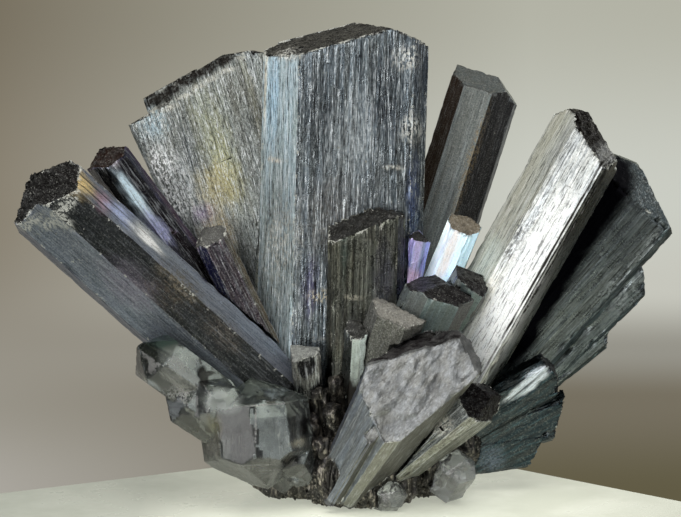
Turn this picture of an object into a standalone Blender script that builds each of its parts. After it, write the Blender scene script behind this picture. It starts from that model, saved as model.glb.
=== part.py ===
"""A stibnite crystal spray about 66 mm wide and 47 mm tall, standing on its broken root.

Striated metallic prisms and blades fan out of one massive root, with a few glassy quartz crystals
at its foot. X runs to the right across the fan, Y to its back and Z up; the origin is on the flat
break that the spray stands on. Sizes in the tables are in millimetres and degrees.
"""

import math
import random
from functools import partial

import bmesh
import bpy
from mathutils import Matrix, Vector

MM = 0.001
SEAM = 0.3 * MM  # clearance between two neighbouring pieces
PRISM_ANGLE = 45  # degrees from a broad face to the {110} prism faces, near enough to stibnite's

# One entry for each crystal. root and tip are the two ends of its axis. width lies across the axis
# in the plane of the fan and thickness runs from front to back; roll turns both about the axis.
# corner is how far the prism faces cut back the four long edges. Each cap entry is one termination
# face: the way that it faces round the axis, its slope and how far it sits below the tip. apex moves
# the point where the faces meet. members are parallel or fanned individuals grown together with it.
CRYSTALS = {
    "centre_blade": {
        "root": (-0.6, 1.0, 5.0),
        "tip": (0.6, 1.8, 47.2),
        "width": 16.4,
        "thickness": 7.0,
        "corner": (3.6, 1.4, 1.4, 1.4),
        "apex": (1.7, 0.8),
        "cap": [(182, 16, 0.0), (28, 23, 0.0), (210, 20, 0.25)],
        "ribs": (11, 7, 1),
    },
    "front_blade": {
        "root": (2.2, -3.0, 8.0),
        "tip": (2.6, -3.6, 29.6),
        "width": 7.6,
        "thickness": 3.2,
        "corner": 0.7,
        "apex": (1.0, 0.9),
        "cap": [(235, 38, 0.0), (0, 12, 0.2), (90, 45, 0.5)],
        "ribs": (4, 2, 2),
    },
    "left_rear_blade": {
        "root": (-3.0, 4.5, 5.0),
        "tip": (-14.0, 8.0, 42.8),
        "width": 9.4,
        "thickness": 5.0,
        "corner": 1.0,
        "apex": (2.2, 0.4),
        "cap": [(184, 15, 0.0), (0, 27, 0.0)],
        "members": [
            {"across": -0.8, "out": -0.2, "width": 6.4, "thickness": 4.2, "fan": 8, "drop": 2.9, "cap": [(184, 6, 0)]},
            {"across": -1.2, "out": 0.2, "width": 6.0, "thickness": 4.8, "fan": 4, "drop": 1.1, "cap": [(184, 9, 0)]},
            {"across": 1.4, "out": 0.3, "width": 6.6, "thickness": 4.4, "fan": -6, "drop": 0.2, "cap": [(0, 21, 0)]},
        ],
        "ribs": (7, 4, 3),
    },
    "left_prism": {
        "root": (-5.0, -1.5, 8.0),
        "tip": (-30.8, -8.0, 33.2),
        "width": 8.4,
        "thickness": 7.8,
        "roll": 20,
        "corner": (2.8, 2.4, 2.0, 2.2),
        "cap": [(30, 35, 0.0), (120, 40, 0.6), (210, 30, 0.2), (300, 42, 0.4)],
        "ribs": (4, 2, 4),
    },
    "left_slim_prism": {
        "root": (-5.5, 1.5, 9.0),
        "tip": (-24.2, 0.5, 35.0),
        "width": 4.2,
        "thickness": 4.4,
        "roll": 25,
        "corner": 1.0,
        "cap": [(0, 38, 0.0), (180, 30, 0.1), (270, 40, 0.3), (90, 40, 0.3)],
        "ribs": (2, 1, 5),
    },
    "left_needle": {
        "root": (-5.0, -1.5, 9.0),
        "tip": (-13.6, -0.5, 27.0),
        "width": 3.6,
        "thickness": 3.2,
        "roll": 15,
        "corner": 0.8,
        "cap": [(0, 20, 0.0), (180, 35, 0.2), (270, 40, 0.4)],
        "ribs": (2, 1, 6),
    },
    "right_rear_prism": {
        "root": (4.5, 4.5, 8.0),
        "tip": (15.4, 9.0, 42.0),
        "width": 7.0,
        "thickness": 6.2,
        "roll": -12,
        "corner": (1.8, 2.2, 1.4, 1.4),
        "apex": (0.4, 0.0),
        "cap": [(0, 40, 0.2), (180, 8, 0.0), (270, 30, 0.8), (90, 35, 0.5)],
        "ribs": (4, 2, 7),
    },
    "small_blue_prism": {
        "root": (7.0, -1.5, 14.0),
        "tip": (12.6, -1.8, 28.2),
        "width": 3.4,
        "thickness": 2.8,
        "roll": -10,
        "corner": 0.8,
        "cap": [(0, 14, 0.0), (180, 10, 0.1), (270, 35, 0.5)],
        "ribs": (1, 1, 8),
    },
    "violet_prism": {
        "root": (5.8, -3.0, 17.0),
        "tip": (7.9, -3.2, 26.9),
        "width": 2.3,
        "thickness": 2.2,
        "roll": 10,
        "corner": 0.6,
        "cap": [(0, 35, 0.0), (180, 35, 0.0), (270, 30, 0.1)],
        "ribs": (1, 1, 9),
    },
    "right_bright_prism": {
        "root": (7.8, -1.0, 6.0),
        "tip": (25.4, -3.8, 38.7),
        "width": 8.0,
        "thickness": 6.2,
        "roll": -20,
        "corner": (3.2, 0.4, 1.6, 1.4),
        "apex": (-1.1, -0.8),
        "cap": [(44, 38, 0.0), (134, 38, 0.2), (224, 25, 0.2), (314, 34, 0.5)],
        "ribs": (5, 3, 18),
    },
    "right_far_blade": {
        "root": (7.5, 3.5, 3.0),
        "tip": (32.0, 6.0, 31.0),
        "width": 9.8,
        "thickness": 4.2,
        "roll": 8,
        "corner": 1.0,
        "apex": (-2.0, 0.0),
        "cap": [(0, 24, 0.0), (180, 18, 0.0), (270, 50, 0.5)],
        "members": [
            {"across": 2.5, "out": 0.5, "width": 4.8, "thickness": 3.4, "fan": -5, "drop": 7.4, "cap": [(0, 35, 0)]},
            {"across": 2.3, "out": 0.6, "width": 3.8, "thickness": 3.0, "fan": -10, "drop": 13.6, "cap": [(0, 40, 0)]},
        ],
        "ribs": (5, 3, 11),
    },
    "lower_right_blade": {
        "root": (7.0, -1.0, 4.0),
        "tip": (21.6, -1.7, 12.6),
        "width": 4.4,
        "thickness": 3.2,
        "roll": 10,
        "corner": 0.7,
        "cap": [(0, 26, 0.0), (180, 12, 0.0)],
        "members": [
            {"across": 1.2, "out": 0.3, "width": 4.2, "thickness": 2.7, "fan": -12, "drop": 1.6, "cap": [(0, 32, 0)]},
            {"across": 1.2, "out": 0.1, "width": 3.8, "thickness": 2.4, "fan": -23, "drop": 4.2, "cap": [(0, 30, 0)]},
        ],
        "ribs": (2, 1, 12),
    },
    "foreground_prism": {
        "root": (0.4, -7.0, 1.8),
        "tip": (9.6, -15.0, 18.8),
        "width": 9.2,
        "thickness": 8.0,
        "roll": -35,
        "taper": 0.45,
        "corner": 1.2,
        "apex": (0.0, 2.6),
        "cap": [(285, 62, 0.0), (20, 22, 0.2), (110, 35, 0.2), (215, 46, 1.0)],
        "ribs": (2, 2, 13),
    },
    "foreground_lower_prism": {
        "root": (3.4, -6.0, 1.6),
        "tip": (14.6, -11.5, 12.4),
        "width": 4.0,
        "thickness": 4.4,
        "roll": -30,
        "taper": 0.3,
        "corner": 0.7,
        "cap": [(0, 50, 0.0), (180, 20, 0.3), (270, 40, 0.6)],
        "ribs": (1, 1, 14),
    },
}

# Short thick crystals between the large ones, seen mostly as their end faces.
STUBS = {
    "dark_stub": {
        "root": (4.4, -2.0, 9.0),
        "tip": (10.4, -8.0, 23.2),
        "width": 6.4,
        "thickness": 5.6,
        "roll": 10,
        "corner": 1.6,
        "cap": [(262, 24, 0.0), (60, 30, 0.5), (150, 34, 0.6)],
        "members": [
            {"across": 1.8, "out": 1.8, "width": 3.6, "thickness": 3.4, "fan": -4, "drop": -0.4, "cap": [(300, 30, 0)]},
        ],
        "ribs": (1, 1, 15),
    },
    "pale_stub": {
        "root": (2.0, -3.5, 8.0),
        "tip": (6.0, -9.6, 20.8),
        "width": 5.6,
        "thickness": 4.6,
        "roll": -15,
        "corner": 1.3,
        "cap": [(270, 20, 0.0), (90, 30, 0.6)],
        "ribs": (1, 1, 16),
    },
    "square_stub": {
        "root": (-3.0, -3.6, 8.0),
        "tip": (-3.5, -6.0, 15.8),
        "width": 2.9,
        "thickness": 2.6,
        "roll": 4,
        "corner": 0.3,
        "cap": [(235, 24, 0.0), (60, 20, 0.0)],
        "ribs": (1, 0, 19),
    },
    "bright_stub": {
        "root": (1.5, -4.5, 7.0),
        "tip": (2.2, -9.0, 18.8),
        "width": 3.2,
        "thickness": 2.8,
        "roll": 30,
        "corner": 0.6,
        "cap": [(200, 30, 0.0), (20, 20, 0.2)],
        "ribs": (1, 0, 17),
    },
}

# Thin crystals that stand in the hollow at the front, grown in one with the root: root, tip, width.
NEEDLES = [
    ((-1.6, -4.6, 3.0), (-1.9, -6.4, 11.6), 1.1),
    ((-0.2, -4.8, 3.0), (-0.3, -7.0, 12.8), 0.9),
    ((0.2, -5.2, 2.0), (-0.9, -8.0, 10.2), 1.2),
    ((-2.2, -5.0, 2.0), (-3.1, -7.0, 8.8), 1.5),
    ((-1.0, -6.0, 1.5), (-2.2, -8.4, 7.0), 1.3),
    ((0.4, -5.2, 2.0), (0.4, -7.4, 9.0), 1.0),
    ((-3.4, -4.6, 3.0), (-3.9, -5.6, 10.2), 1.4),
    ((2.8, -5.6, 3.0), (4.6, -8.0, 10.4), 1.2),
]

# Quartz at the foot of the spray. Every crystal is a six-sided prism with a six-faced point; those
# of one cluster are grown together. radius is to the prism's edges and turn is about the axis.
QUARTZ = {
    "quartz_cluster": [
        {"root": (-7.3, -9.2, 1.6), "tip": (-9.2, -6.6, 13.6), "radius": 5.5, "turn": 30, "slope": 34, "foot": 36},
        {"root": (-8.0, -6.5, 4.5), "tip": (-14.0, -10.0, 13.4), "radius": 2.8, "turn": 10, "slope": 44},
        {"root": (-9.0, -4.0, 7.5), "tip": (-19.9, -10.2, 17.0), "radius": 2.9, "turn": 12, "slope": 46},
        {"root": (-4.5, -6.3, 3.0), "tip": (-17.4, -8.6, 12.8), "radius": 2.9, "turn": 0, "slope": 48, "taper": 0.2},
        {"root": (-3.6, -6.1, 3.4), "tip": (-5.4, -9.8, 7.0), "radius": 2.1, "turn": 20, "slope": 40},
    ],
    "quartz_grain_right": [
        {"root": (10.5, -5.0, 1.6), "tip": (12.2, -9.0, 5.4), "radius": 2.0, "turn": 15, "slope": 45},
    ],
    "quartz_grain_front": [
        {"root": (4.2, -7.0, 0.4), "tip": (5.6, -10.6, 2.6), "radius": 1.6, "turn": 0, "slope": 45},
    ],
}

# Lumps of massive stibnite that everything grows from: centre and half-sizes.
ROOT_LUMPS = [
    ((0.5, 0.5, 5.0), (10.5, 8.2, 7.6)),
    ((-5.5, 0.0, 6.5), (6.2, 6.6, 5.6)),
    ((7.0, -0.5, 5.0), (6.6, 6.4, 5.4)),
    ((1.8, -4.4, 3.6), (6.6, 5.4, 5.2)),
    ((-0.5, 4.5, 6.5), (8.0, 5.2, 6.4)),
]
LUMP_ROUGHNESS = 0.1  # share of its size by which a lump's corners stray
STUB_COUNT = 64
STUB_LENGTH = (0.8, 3.0)
STUB_WIDTH = (1.8, 3.8)

# Colour and roughness of each piece: stibnite is a bright grey metal that tarnishes unevenly.
METAL_LOOKS = {
    "root_mass": ((0.12, 0.12, 0.13), 0.60),
    "centre_blade": ((0.30, 0.34, 0.38), 0.35),
    "front_blade": ((0.20, 0.20, 0.17), 0.45),
    "left_rear_blade": ((0.36, 0.37, 0.38), 0.35),
    "left_prism": ((0.16, 0.18, 0.19), 0.40),
    "left_slim_prism": ((0.13, 0.15, 0.19), 0.35),
    "left_needle": ((0.14, 0.12, 0.20), 0.35),
    "right_rear_prism": ((0.14, 0.15, 0.17), 0.50),
    "small_blue_prism": ((0.42, 0.48, 0.56), 0.30),
    "violet_prism": ((0.36, 0.22, 0.48), 0.30),
    "right_bright_prism": ((0.62, 0.64, 0.66), 0.25),
    "right_far_blade": ((0.10, 0.13, 0.16), 0.50),
    "lower_right_blade": ((0.10, 0.16, 0.19), 0.40),
    "foreground_prism": ((0.33, 0.32, 0.30), 0.50),
    "foreground_lower_prism": ((0.22, 0.22, 0.17), 0.50),
    "dark_stub": ((0.10, 0.12, 0.11), 0.40),
    "pale_stub": ((0.38, 0.36, 0.30), 0.60),
    "square_stub": ((0.12, 0.12, 0.14), 0.30),
    "bright_stub": ((0.66, 0.70, 0.64), 0.30),
}
QUARTZ_COLOUR = (0.70, 0.72, 0.69)
QUARTZ_IOR = 1.544


def clear_scene():
    for obj in list(bpy.data.objects):
        bpy.data.objects.remove(obj, do_unlink=True)


def new_collection(name, shown):
    collection = bpy.data.collections.new(name)
    bpy.context.scene.collection.children.link(collection)
    collection.hide_render = not shown
    return collection


def metal(name):
    colour, roughness = METAL_LOOKS[name]
    made = bpy.data.materials.new(name)
    made.use_nodes = True
    shader = made.node_tree.nodes["Principled BSDF"]
    shader.inputs["Base Color"].default_value = (*colour, 1.0)
    shader.inputs["Roughness"].default_value = roughness
    shader.inputs["Metallic"].default_value = 1.0
    return made


def quartz(name):
    made = bpy.data.materials.new(name)
    made.use_nodes = True
    shader = made.node_tree.nodes["Principled BSDF"]
    shader.inputs["Base Color"].default_value = (*QUARTZ_COLOUR, 1.0)
    shader.inputs["Roughness"].default_value = 0.08
    shader.inputs["Transmission Weight"].default_value = 1.0
    shader.inputs["IOR"].default_value = QUARTZ_IOR
    return made


def shave(bm, point, normal):
    """Cuts away what lies beyond a plane and closes the cut with one flat face."""
    geometry = bm.verts[:] + bm.edges[:] + bm.faces[:]
    cut = bmesh.ops.bisect_plane(
        bm, geom=geometry, dist=1e-7, plane_co=point, plane_no=normal, clear_outer=True
    )
    rim = [item for item in cut["geom_cut"] if isinstance(item, bmesh.types.BMEdge)]
    if rim:
        bmesh.ops.edgeloop_fill(bm, edges=rim)


def solid(name, bm, place, collection):
    """An object made of a finished bmesh, in a collection."""
    mesh = bpy.data.meshes.new(name)
    bm.to_mesh(mesh)
    bm.free()
    obj = bpy.data.objects.new(name, mesh)
    obj.matrix_world = place
    collection.objects.link(obj)
    return obj


def axis_frame(spec):
    """The crystal's own frame: Z runs from root to tip and X across its width."""
    root = Vector(spec["root"]) * MM
    along = (Vector(spec["tip"]) * MM - root).normalized()
    across = Vector((0, 1, 0)).cross(along).normalized()
    turned = Matrix((across, along.cross(across), along)).transposed()
    turned = turned @ Matrix.Rotation(math.radians(spec.get("roll", 0)), 3, "Z")
    return Matrix.Translation(root) @ turned.to_4x4()


def axis_length(spec):
    return (Vector(spec["tip"]) - Vector(spec["root"])).length * MM


def facing(azimuth, slope):
    turn, tilt = math.radians(azimuth), math.radians(slope)
    return Vector((math.sin(tilt) * math.cos(turn), math.sin(tilt) * math.sin(turn), math.cos(tilt)))


def bar_corners(bar):
    """How far each long edge is cut back: front left, front right, back left, back right."""
    corner = bar.get("corner", 0.0)
    return corner if isinstance(corner, tuple) else (corner,) * 4


def prism(name, collection, frame, bar, length, caps, grow=0.0):
    """A prism with cut corners and flat end faces, from a block. grow moves every face outwards."""
    half = Vector((bar["width"] * MM / 2, bar["thickness"] * MM / 2, length / 2))
    size = Vector([2 * (h + grow) for h in half])
    middle = Vector((bar.get("across", 0) * MM, bar.get("out", 0) * MM, half.z))
    bm = bmesh.new()
    bmesh.ops.create_cube(bm, size=1.0, matrix=Matrix.Diagonal((*size, 1.0)))
    turn = math.radians(PRISM_ANGLE)
    sides = [(-1, -1), (1, -1), (-1, 1), (1, 1)]
    for (side, face), corner in zip(sides, bar_corners(bar)):
        if corner:
            normal = Vector((side * math.cos(turn), face * math.sin(turn), 0))
            edge = Vector((side * (half.x - corner * MM), face * half.y, 0))
            shave(bm, edge + normal * grow, normal)
    for vertex in bm.verts:
        height = (vertex.co.z + half.z) / (2 * half.z)
        vertex.co.xy *= 1 - bar.get("taper", 0.0) * (1 - height)
    bmesh.ops.translate(bm, vec=middle, verts=bm.verts)
    for point, normal in caps:
        shave(bm, point + normal * grow, normal)
    fan = Matrix.Rotation(math.radians(-bar.get("fan", 0)), 4, "Y")
    return solid(name, bm, frame @ fan, collection)


def cap_planes(spec, length, drop=0.0):
    """The termination faces as planes through the apex, each as far down the axis as its drop says."""
    apex = Vector(spec.get("apex", (0.0, 0.0))).to_3d() * MM
    planes = []
    for azimuth, slope, own_drop in spec["cap"]:
        point = apex + Vector((0, 0, length - (own_drop + drop) * MM))
        planes.append((point, facing(azimuth, slope)))
    return planes


def rib_bars(spec, length):
    """Thin parallel laths that stand slightly proud of the two broad faces, as steps in growth."""
    front, back, seed = spec["ribs"]
    draw = random.Random(seed)
    flat = spec["width"] - 2 * max(bar_corners(spec))
    bars = []
    for index in range(front + back):
        face = -1 if index < front else 1
        width = draw.uniform(0.10, 0.22) * flat + 0.35
        relief = draw.uniform(0.18, 0.42)
        depth = spec["thickness"] / 2 + relief
        reach = max(flat / 2 - width / 2, 0.0)
        bars.append(
            {
                "across": draw.uniform(-reach, reach),
                "out": face * depth / 2,
                "width": width,
                "thickness": depth,
                "drop": draw.uniform(0.02, 0.5) ** 2 * 1.6 * length / MM,
                "taper": spec.get("taper", 0.0),
                "lean": (90 * face + draw.uniform(-30, 30), draw.uniform(15, 50)),
            }
        )
    return bars


def crystal_bodies(spec, name, collection, grow=0.0):
    """Every individual that makes up one crystal, as separate overlapping blocks."""
    frame, length = axis_frame(spec), axis_length(spec)
    main = {key: spec[key] for key in ("width", "thickness", "corner", "taper") if key in spec}
    bodies = [prism(f"{name}_body", collection, frame, main, length, cap_planes(spec, length), grow)]
    for index, member in enumerate(spec.get("members", [])):
        planes = cap_planes({"cap": member["cap"], "apex": (member["across"], member["out"])}, length, member["drop"])
        bar = {"corner": 0.5, **member}
        bodies.append(prism(f"{name}_member_{index}", collection, frame, bar, length, planes, grow))
    for index, bar in enumerate(rib_bars(spec, length)):
        top = Vector((bar["across"] * MM, bar["out"] * 2 * MM, length - bar["drop"] * MM))
        planes = cap_planes(spec, length, 0.15) + [(top, facing(*bar["lean"]))]
        bodies.append(prism(f"{name}_rib_{index}", collection, frame, bar, length * 0.999, planes, grow))
    return bodies


def lump(name, collection, centre, radii, seed, grow=0.0):
    """A rough faceted boulder."""
    draw = random.Random(seed)
    bm = bmesh.new()
    bmesh.ops.create_icosphere(bm, subdivisions=2, radius=1.0)
    for vertex in bm.verts:
        vertex.co *= 1 + draw.uniform(-LUMP_ROUGHNESS, LUMP_ROUGHNESS)
        vertex.co = Vector([c * (r * MM + grow) for c, r in zip(vertex.co, radii)])
    return solid(name, bm, Matrix.Translation(Vector(centre) * MM), collection)


def boolean(obj, operation, label):
    made = obj.modifiers.new(label, "BOOLEAN")
    made.operation = operation
    made.solver = "EXACT"
    made.use_self = True
    return made


def join(obj, operands):
    """Grows a whole collection of helpers together with an object."""
    made = boolean(obj, "UNION", "join")
    made.operand_type = "COLLECTION"
    made.collection = operands


def cut(obj, cutter):
    boolean(obj, "DIFFERENCE", f"clear_of_{cutter.name}"[:50]).object = cutter


def largest_island(mesh):
    """Keeps only the biggest connected body, where a neighbour has cut a crystal in two."""
    bm = bmesh.new()
    bm.from_mesh(mesh)
    islands, seen = [], set()
    for start in bm.verts:
        if start in seen:
            continue
        island, todo = [], [start]
        seen.add(start)
        while todo:
            vertex = todo.pop()
            island.append(vertex)
            for edge in vertex.link_edges:
                other = edge.other_vert(vertex)
                if other not in seen:
                    seen.add(other)
                    todo.append(other)
        islands.append(island)
    islands.sort(key=extent)
    for island in islands[:-1]:
        bmesh.ops.delete(bm, geom=island, context="VERTS")
    bm.to_mesh(mesh)
    bm.free()


def extent(vertices):
    spans = [max(v.co[i] for v in vertices) - min(v.co[i] for v in vertices) for i in range(3)]
    return Vector(spans).length


def baked(obj, look):
    """Replaces an object's modifiers by their result."""
    graph = bpy.context.evaluated_depsgraph_get()
    mesh = bpy.data.meshes.new_from_object(obj.evaluated_get(graph))
    obj.modifiers.clear()
    mesh.materials.clear()
    mesh.materials.append(look)
    mesh.name = obj.name
    obj.data = mesh


def tidied(mesh):
    """Keeps a finished mesh as one body, without slivers, doubled points or cuts across flat faces."""
    largest_island(mesh)
    bm = bmesh.new()
    bm.from_mesh(mesh)
    bmesh.ops.remove_doubles(bm, verts=bm.verts, dist=0.002 * MM)
    bmesh.ops.dissolve_limit(bm, angle_limit=math.radians(0.2), verts=bm.verts, edges=bm.edges)
    bmesh.ops.delete(bm, geom=[edge for edge in bm.edges if edge.is_wire], context="EDGES")
    bm.to_mesh(mesh)
    bm.free()


def boxes_meet(a, b, margin=1.0 * MM):
    corners = [[obj.matrix_world @ Vector(c) for c in obj.bound_box] for obj in (a, b)]
    for i in range(3):
        low = [min(c[i] for c in box) for box in corners]
        high = [max(c[i] for c in box) for box in corners]
        if low[0] > high[1] + margin or low[1] > high[0] + margin:
            return False
    return True


def as_helpers(objects):
    for helper in objects:
        helper.hide_render = True
        helper.display_type = "WIRE"
    return list(objects)


def piece(name, shown, look, clearances, build):
    """One piece of the spray, trimmed by the earlier ones, and its clearance for those that follow."""
    room = new_collection(f"{name}_room", shown=False)
    for label, home, grow in ((name, shown, 0.0), (f"{name}_clearance", room, SEAM)):
        parts = new_collection(f"{label}_parts", shown=False)
        body = build(label, parts, grow)[0]
        body.name = label
        parts.objects.unlink(body)
        home.objects.link(body)
        as_helpers(parts.objects)
        bpy.context.view_layer.update()
        join(body, parts)
        if home is shown:
            for cutter in clearances:
                if boxes_meet(body, cutter):
                    cut(body, cutter)
            baked(body, look)
            tidied(body.data)
        else:
            body.modifiers.new("flat_faces", "TRIANGULATE")
            baked(body, look)
            clearances += as_helpers([body])


def ground_block():
    """Everything below the flat break that the spray stands on."""
    bm = bmesh.new()
    bmesh.ops.create_cube(bm, size=1.0, matrix=Matrix.Diagonal((0.12, 0.12, 0.04, 1.0)))
    hidden = new_collection("ground", shown=False)
    block = solid("ground", bm, Matrix.Translation((0, 0, -0.02)), hidden)
    return as_helpers([block])[0]


def scattered_stubs(name, parts, grow, crystals):
    """Short crystals that bristle from the root wherever no large crystal is in the way."""
    draw = random.Random(77)
    taken = list(crystals)
    made = tries = 0
    while made < STUB_COUNT and tries < 4000:
        tries += 1
        centre, radii = draw.choice(ROOT_LUMPS)
        way = Vector((draw.gauss(0, 1), draw.gauss(0.35, 1), draw.uniform(-0.35, 1.0))).normalized()
        skin = Vector([c + 0.9 * r * w for c, r, w in zip(centre, radii, way)])
        length = draw.uniform(*STUB_LENGTH)
        width = draw.uniform(*STUB_WIDTH)
        lean = (way + Vector([draw.gauss(0, 0.25) for _ in range(3)])).normalized()
        spec = {
            "root": skin - lean * 3.0,
            "tip": skin + lean * length,
            "width": width,
            "thickness": width * draw.uniform(0.55, 0.95),
            "roll": draw.uniform(0, 180),
            "corner": width * 0.18,
            "cap": [(draw.uniform(0, 360), draw.uniform(10, 40), 0.0) for _ in range(3)],
            "ribs": (0, 0, made),
        }
        clear = all(apart(spec, skin, other) for other in taken)
        if skin.z > 1.2 and spec["tip"].z > 0.8 and clear:
            taken.append(spec)
            crystal_bodies(spec, f"{name}_stub_{made}", parts, grow)
            made += 1


def apart(spec, skin, other):
    """Whether a short crystal, from the root's skin outwards, stays clear of another one."""
    to_other = axis_frame(other).inverted()
    room = spec["width"] * 0.71 + 0.5
    aside = sum(abs(member["across"]) + 0.2 * abs(member["fan"]) for member in other.get("members", []))
    for step in range(9):
        point = to_other @ (skin.lerp(spec["tip"], step / 8) * MM) / MM
        beside = abs(point.x) > other["width"] / 2 + aside + room
        before = abs(point.y) > other["thickness"] / 2 + room
        above = point.z > axis_length(other) / MM + room
        if not (beside or before or above or point.z < -room):
            return False
    return True


def needles(name, parts, grow):
    for index, (root, tip, width) in enumerate(NEEDLES):
        spec = {"root": root, "tip": tip, "width": width, "thickness": width * 0.8, "corner": width * 0.15}
        spec.update(roll=37 * index, cap=[(70 * index, 35, 0.0), (70 * index + 180, 20, 0.0)], ribs=(0, 0, index))
        crystal_bodies(spec, f"{name}_needle_{index}", parts, grow)


def root_bodies(name, parts, grow, crystals):
    """The boulders of the massive root and the short crystals and needles on them."""
    made = [
        lump(f"{name}_lump_{index}", parts, centre, radii, seed=20 + index, grow=grow)
        for index, (centre, radii) in enumerate(ROOT_LUMPS)
    ]
    scattered_stubs(name, parts, grow, crystals)
    needles(name, parts, grow)
    return made


def quartz_bodies(crystals, name, parts, grow):
    """Six-sided quartz prisms with pointed ends."""
    made = []
    for index, spec in enumerate(crystals):
        frame = axis_frame({**spec, "roll": spec["turn"]})
        length = axis_length(spec)
        bm = bmesh.new()
        radius = spec["radius"] * MM + grow / math.cos(math.radians(30))
        bmesh.ops.create_cone(
            bm, cap_ends=True, segments=6, radius1=radius * (1 - spec.get("taper", 0.0)), radius2=radius,
            depth=length + 2 * grow, matrix=Matrix.Translation((0, 0, length / 2)),
        )
        for side in range(6):
            drop = (0.0, 0.5, 0.1, 0.7, 0.2, 0.4)[(side + index) % 6] * spec["radius"] * 0.2 * MM
            normal = facing(60 * side, spec["slope"])
            shave(bm, Vector((0, 0, length - drop)) + normal * grow, normal)
            if "foot" in spec:
                normal = facing(60 * side, 180 - spec["foot"])
                shave(bm, Vector((0, 0, drop)) + normal * grow, normal)
        made.append(solid(f"{name}_{index}", bm, frame, parts))
    return made


def main():
    clear_scene()
    shown = new_collection("stibnite_crystal_spray", shown=True)
    crystals = {**CRYSTALS, **STUBS}
    clearances = [ground_block()]

    def root(name, parts, grow):
        return root_bodies(name, parts, grow, crystals.values())

    piece("root_mass", shown, metal("root_mass"), clearances, root)
    for key, spec in crystals.items():
        piece(key, shown, metal(key), clearances, partial(crystal_bodies, spec))
    for key, members in QUARTZ.items():
        piece(key, shown, quartz(key), clearances, partial(quartz_bodies, members))


main()
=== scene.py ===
import math
import random

import bmesh
import bpy
from mathutils import Matrix, Vector, noise
from mathutils.kdtree import KDTree


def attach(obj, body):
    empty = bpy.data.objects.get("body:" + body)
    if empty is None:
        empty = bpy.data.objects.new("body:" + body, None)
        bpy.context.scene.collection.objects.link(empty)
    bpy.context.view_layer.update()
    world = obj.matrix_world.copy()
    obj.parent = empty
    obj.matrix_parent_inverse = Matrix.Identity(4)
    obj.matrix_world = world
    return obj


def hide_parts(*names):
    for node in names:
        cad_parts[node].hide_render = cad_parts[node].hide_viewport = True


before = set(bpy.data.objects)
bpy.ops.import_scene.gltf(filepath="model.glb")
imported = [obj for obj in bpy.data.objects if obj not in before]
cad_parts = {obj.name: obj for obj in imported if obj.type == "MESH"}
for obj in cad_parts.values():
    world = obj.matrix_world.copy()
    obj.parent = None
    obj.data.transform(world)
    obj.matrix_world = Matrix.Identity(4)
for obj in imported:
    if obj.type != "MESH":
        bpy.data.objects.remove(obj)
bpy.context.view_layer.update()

# A spray of stibnite crystals on a broken base with quartz. Lengths here are in millimetres.
mm = 0.001
bumpDepth = 0.08  # of the finest relief, which only the shading shows
lathSlack = 0.03  # how far off half the thickness a face may be and still lie on it
mainAngle = 20  # an edge between faces that turn more than this is a main edge,
slimFace = 0.4  # unless one of the faces is slimmer than this
scene = bpy.context.scene
print("stibnite spray: the packed model is loaded")


def directionOf(angle, rise):
    turn, lift = math.radians(angle), math.radians(rise)
    level = math.cos(lift)
    return Vector((math.cos(turn) * level, math.sin(turn) * level, math.sin(lift)))


def towards(azimuth, elevation):
    # unit vector from the object to a place round it; azimuth 0 is the camera's side
    return directionOf(azimuth - 90, elevation)


def addObject(name, data):
    made = bpy.data.objects.new(name, data)
    scene.collection.objects.link(made)
    return made


def newMaterial(name):
    made = bpy.data.materials.new(name)
    made.use_nodes = True
    made.node_tree.nodes.clear()
    return made, made.node_tree


def addNode(tree, kind, **settings):
    node = tree.nodes.new(kind)
    for key, value in settings.items():
        setattr(node, key, value)
    return node


def plug(tree, socket, value):
    # joins a socket to another, or sets it where value is a plain number, colour or vector
    if isinstance(value, bpy.types.NodeSocket):
        tree.links.new(value, socket)
    else:
        socket.default_value = value


def maths(tree, operation, first, second=0.0, third=0.0, clamp=False):
    node = addNode(tree, "ShaderNodeMath", operation=operation, use_clamp=clamp)
    for socket, value in zip(node.inputs, (first, second, third)):
        plug(tree, socket, value)
    return node.outputs[0]


def times(tree, first, second, clamp=False):
    return maths(tree, "MULTIPLY", first, second, clamp=clamp)


def sway(tree, base, unevenness, amount):
    # moves a value up and down by noise, which runs from 0 to 1
    return maths(tree, "MULTIPLY_ADD", maths(tree, "SUBTRACT", unevenness, 0.5), amount, base)


def vectors(tree, operation, first, second=(0, 0, 0)):
    node = addNode(tree, "ShaderNodeVectorMath", operation=operation)
    plug(tree, node.inputs[0], first)
    plug(tree, node.inputs[1], second)
    return node.outputs["Value" if operation == "LENGTH" else "Vector"]


def stretched(tree, place, factors):
    return vectors(tree, "MULTIPLY", place, factors)


def remap(tree, value, low, high, toLow=0.0, toHigh=1.0, smooth=True):
    node = addNode(tree, "ShaderNodeMapRange", clamp=True)
    node.interpolation_type = "SMOOTHSTEP" if smooth else "LINEAR"
    for socket, number in zip(node.inputs, (value, low, high, toLow, toHigh)):
        plug(tree, socket, number)
    return node.outputs["Result"]


def blendColours(tree, amount, first, second, blend="MIX"):
    node = addNode(tree, "ShaderNodeMix", data_type="RGBA", blend_type=blend, clamp_factor=True)
    plug(tree, node.inputs[0], amount)
    for socket, value in ((node.inputs[6], first), (node.inputs[7], second)):
        plug(tree, socket, value if isinstance(value, bpy.types.NodeSocket) else (*value, 1.0))
    return node.outputs[2]


def multiplied(tree, first, second):
    return blendColours(tree, 1.0, first, second, blend="MULTIPLY")


def noiseNode(tree, vector, scale=1.0, detail=2.0, roughness=0.5, distortion=0.0):
    node = addNode(tree, "ShaderNodeTexNoise", noise_dimensions="3D")
    given = {"Vector": vector, "Scale": scale, "Detail": detail, "Roughness": roughness,
             "Distortion": distortion}
    for key, value in given.items():
        plug(tree, node.inputs[key], value)
    return node.outputs[0]


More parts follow.
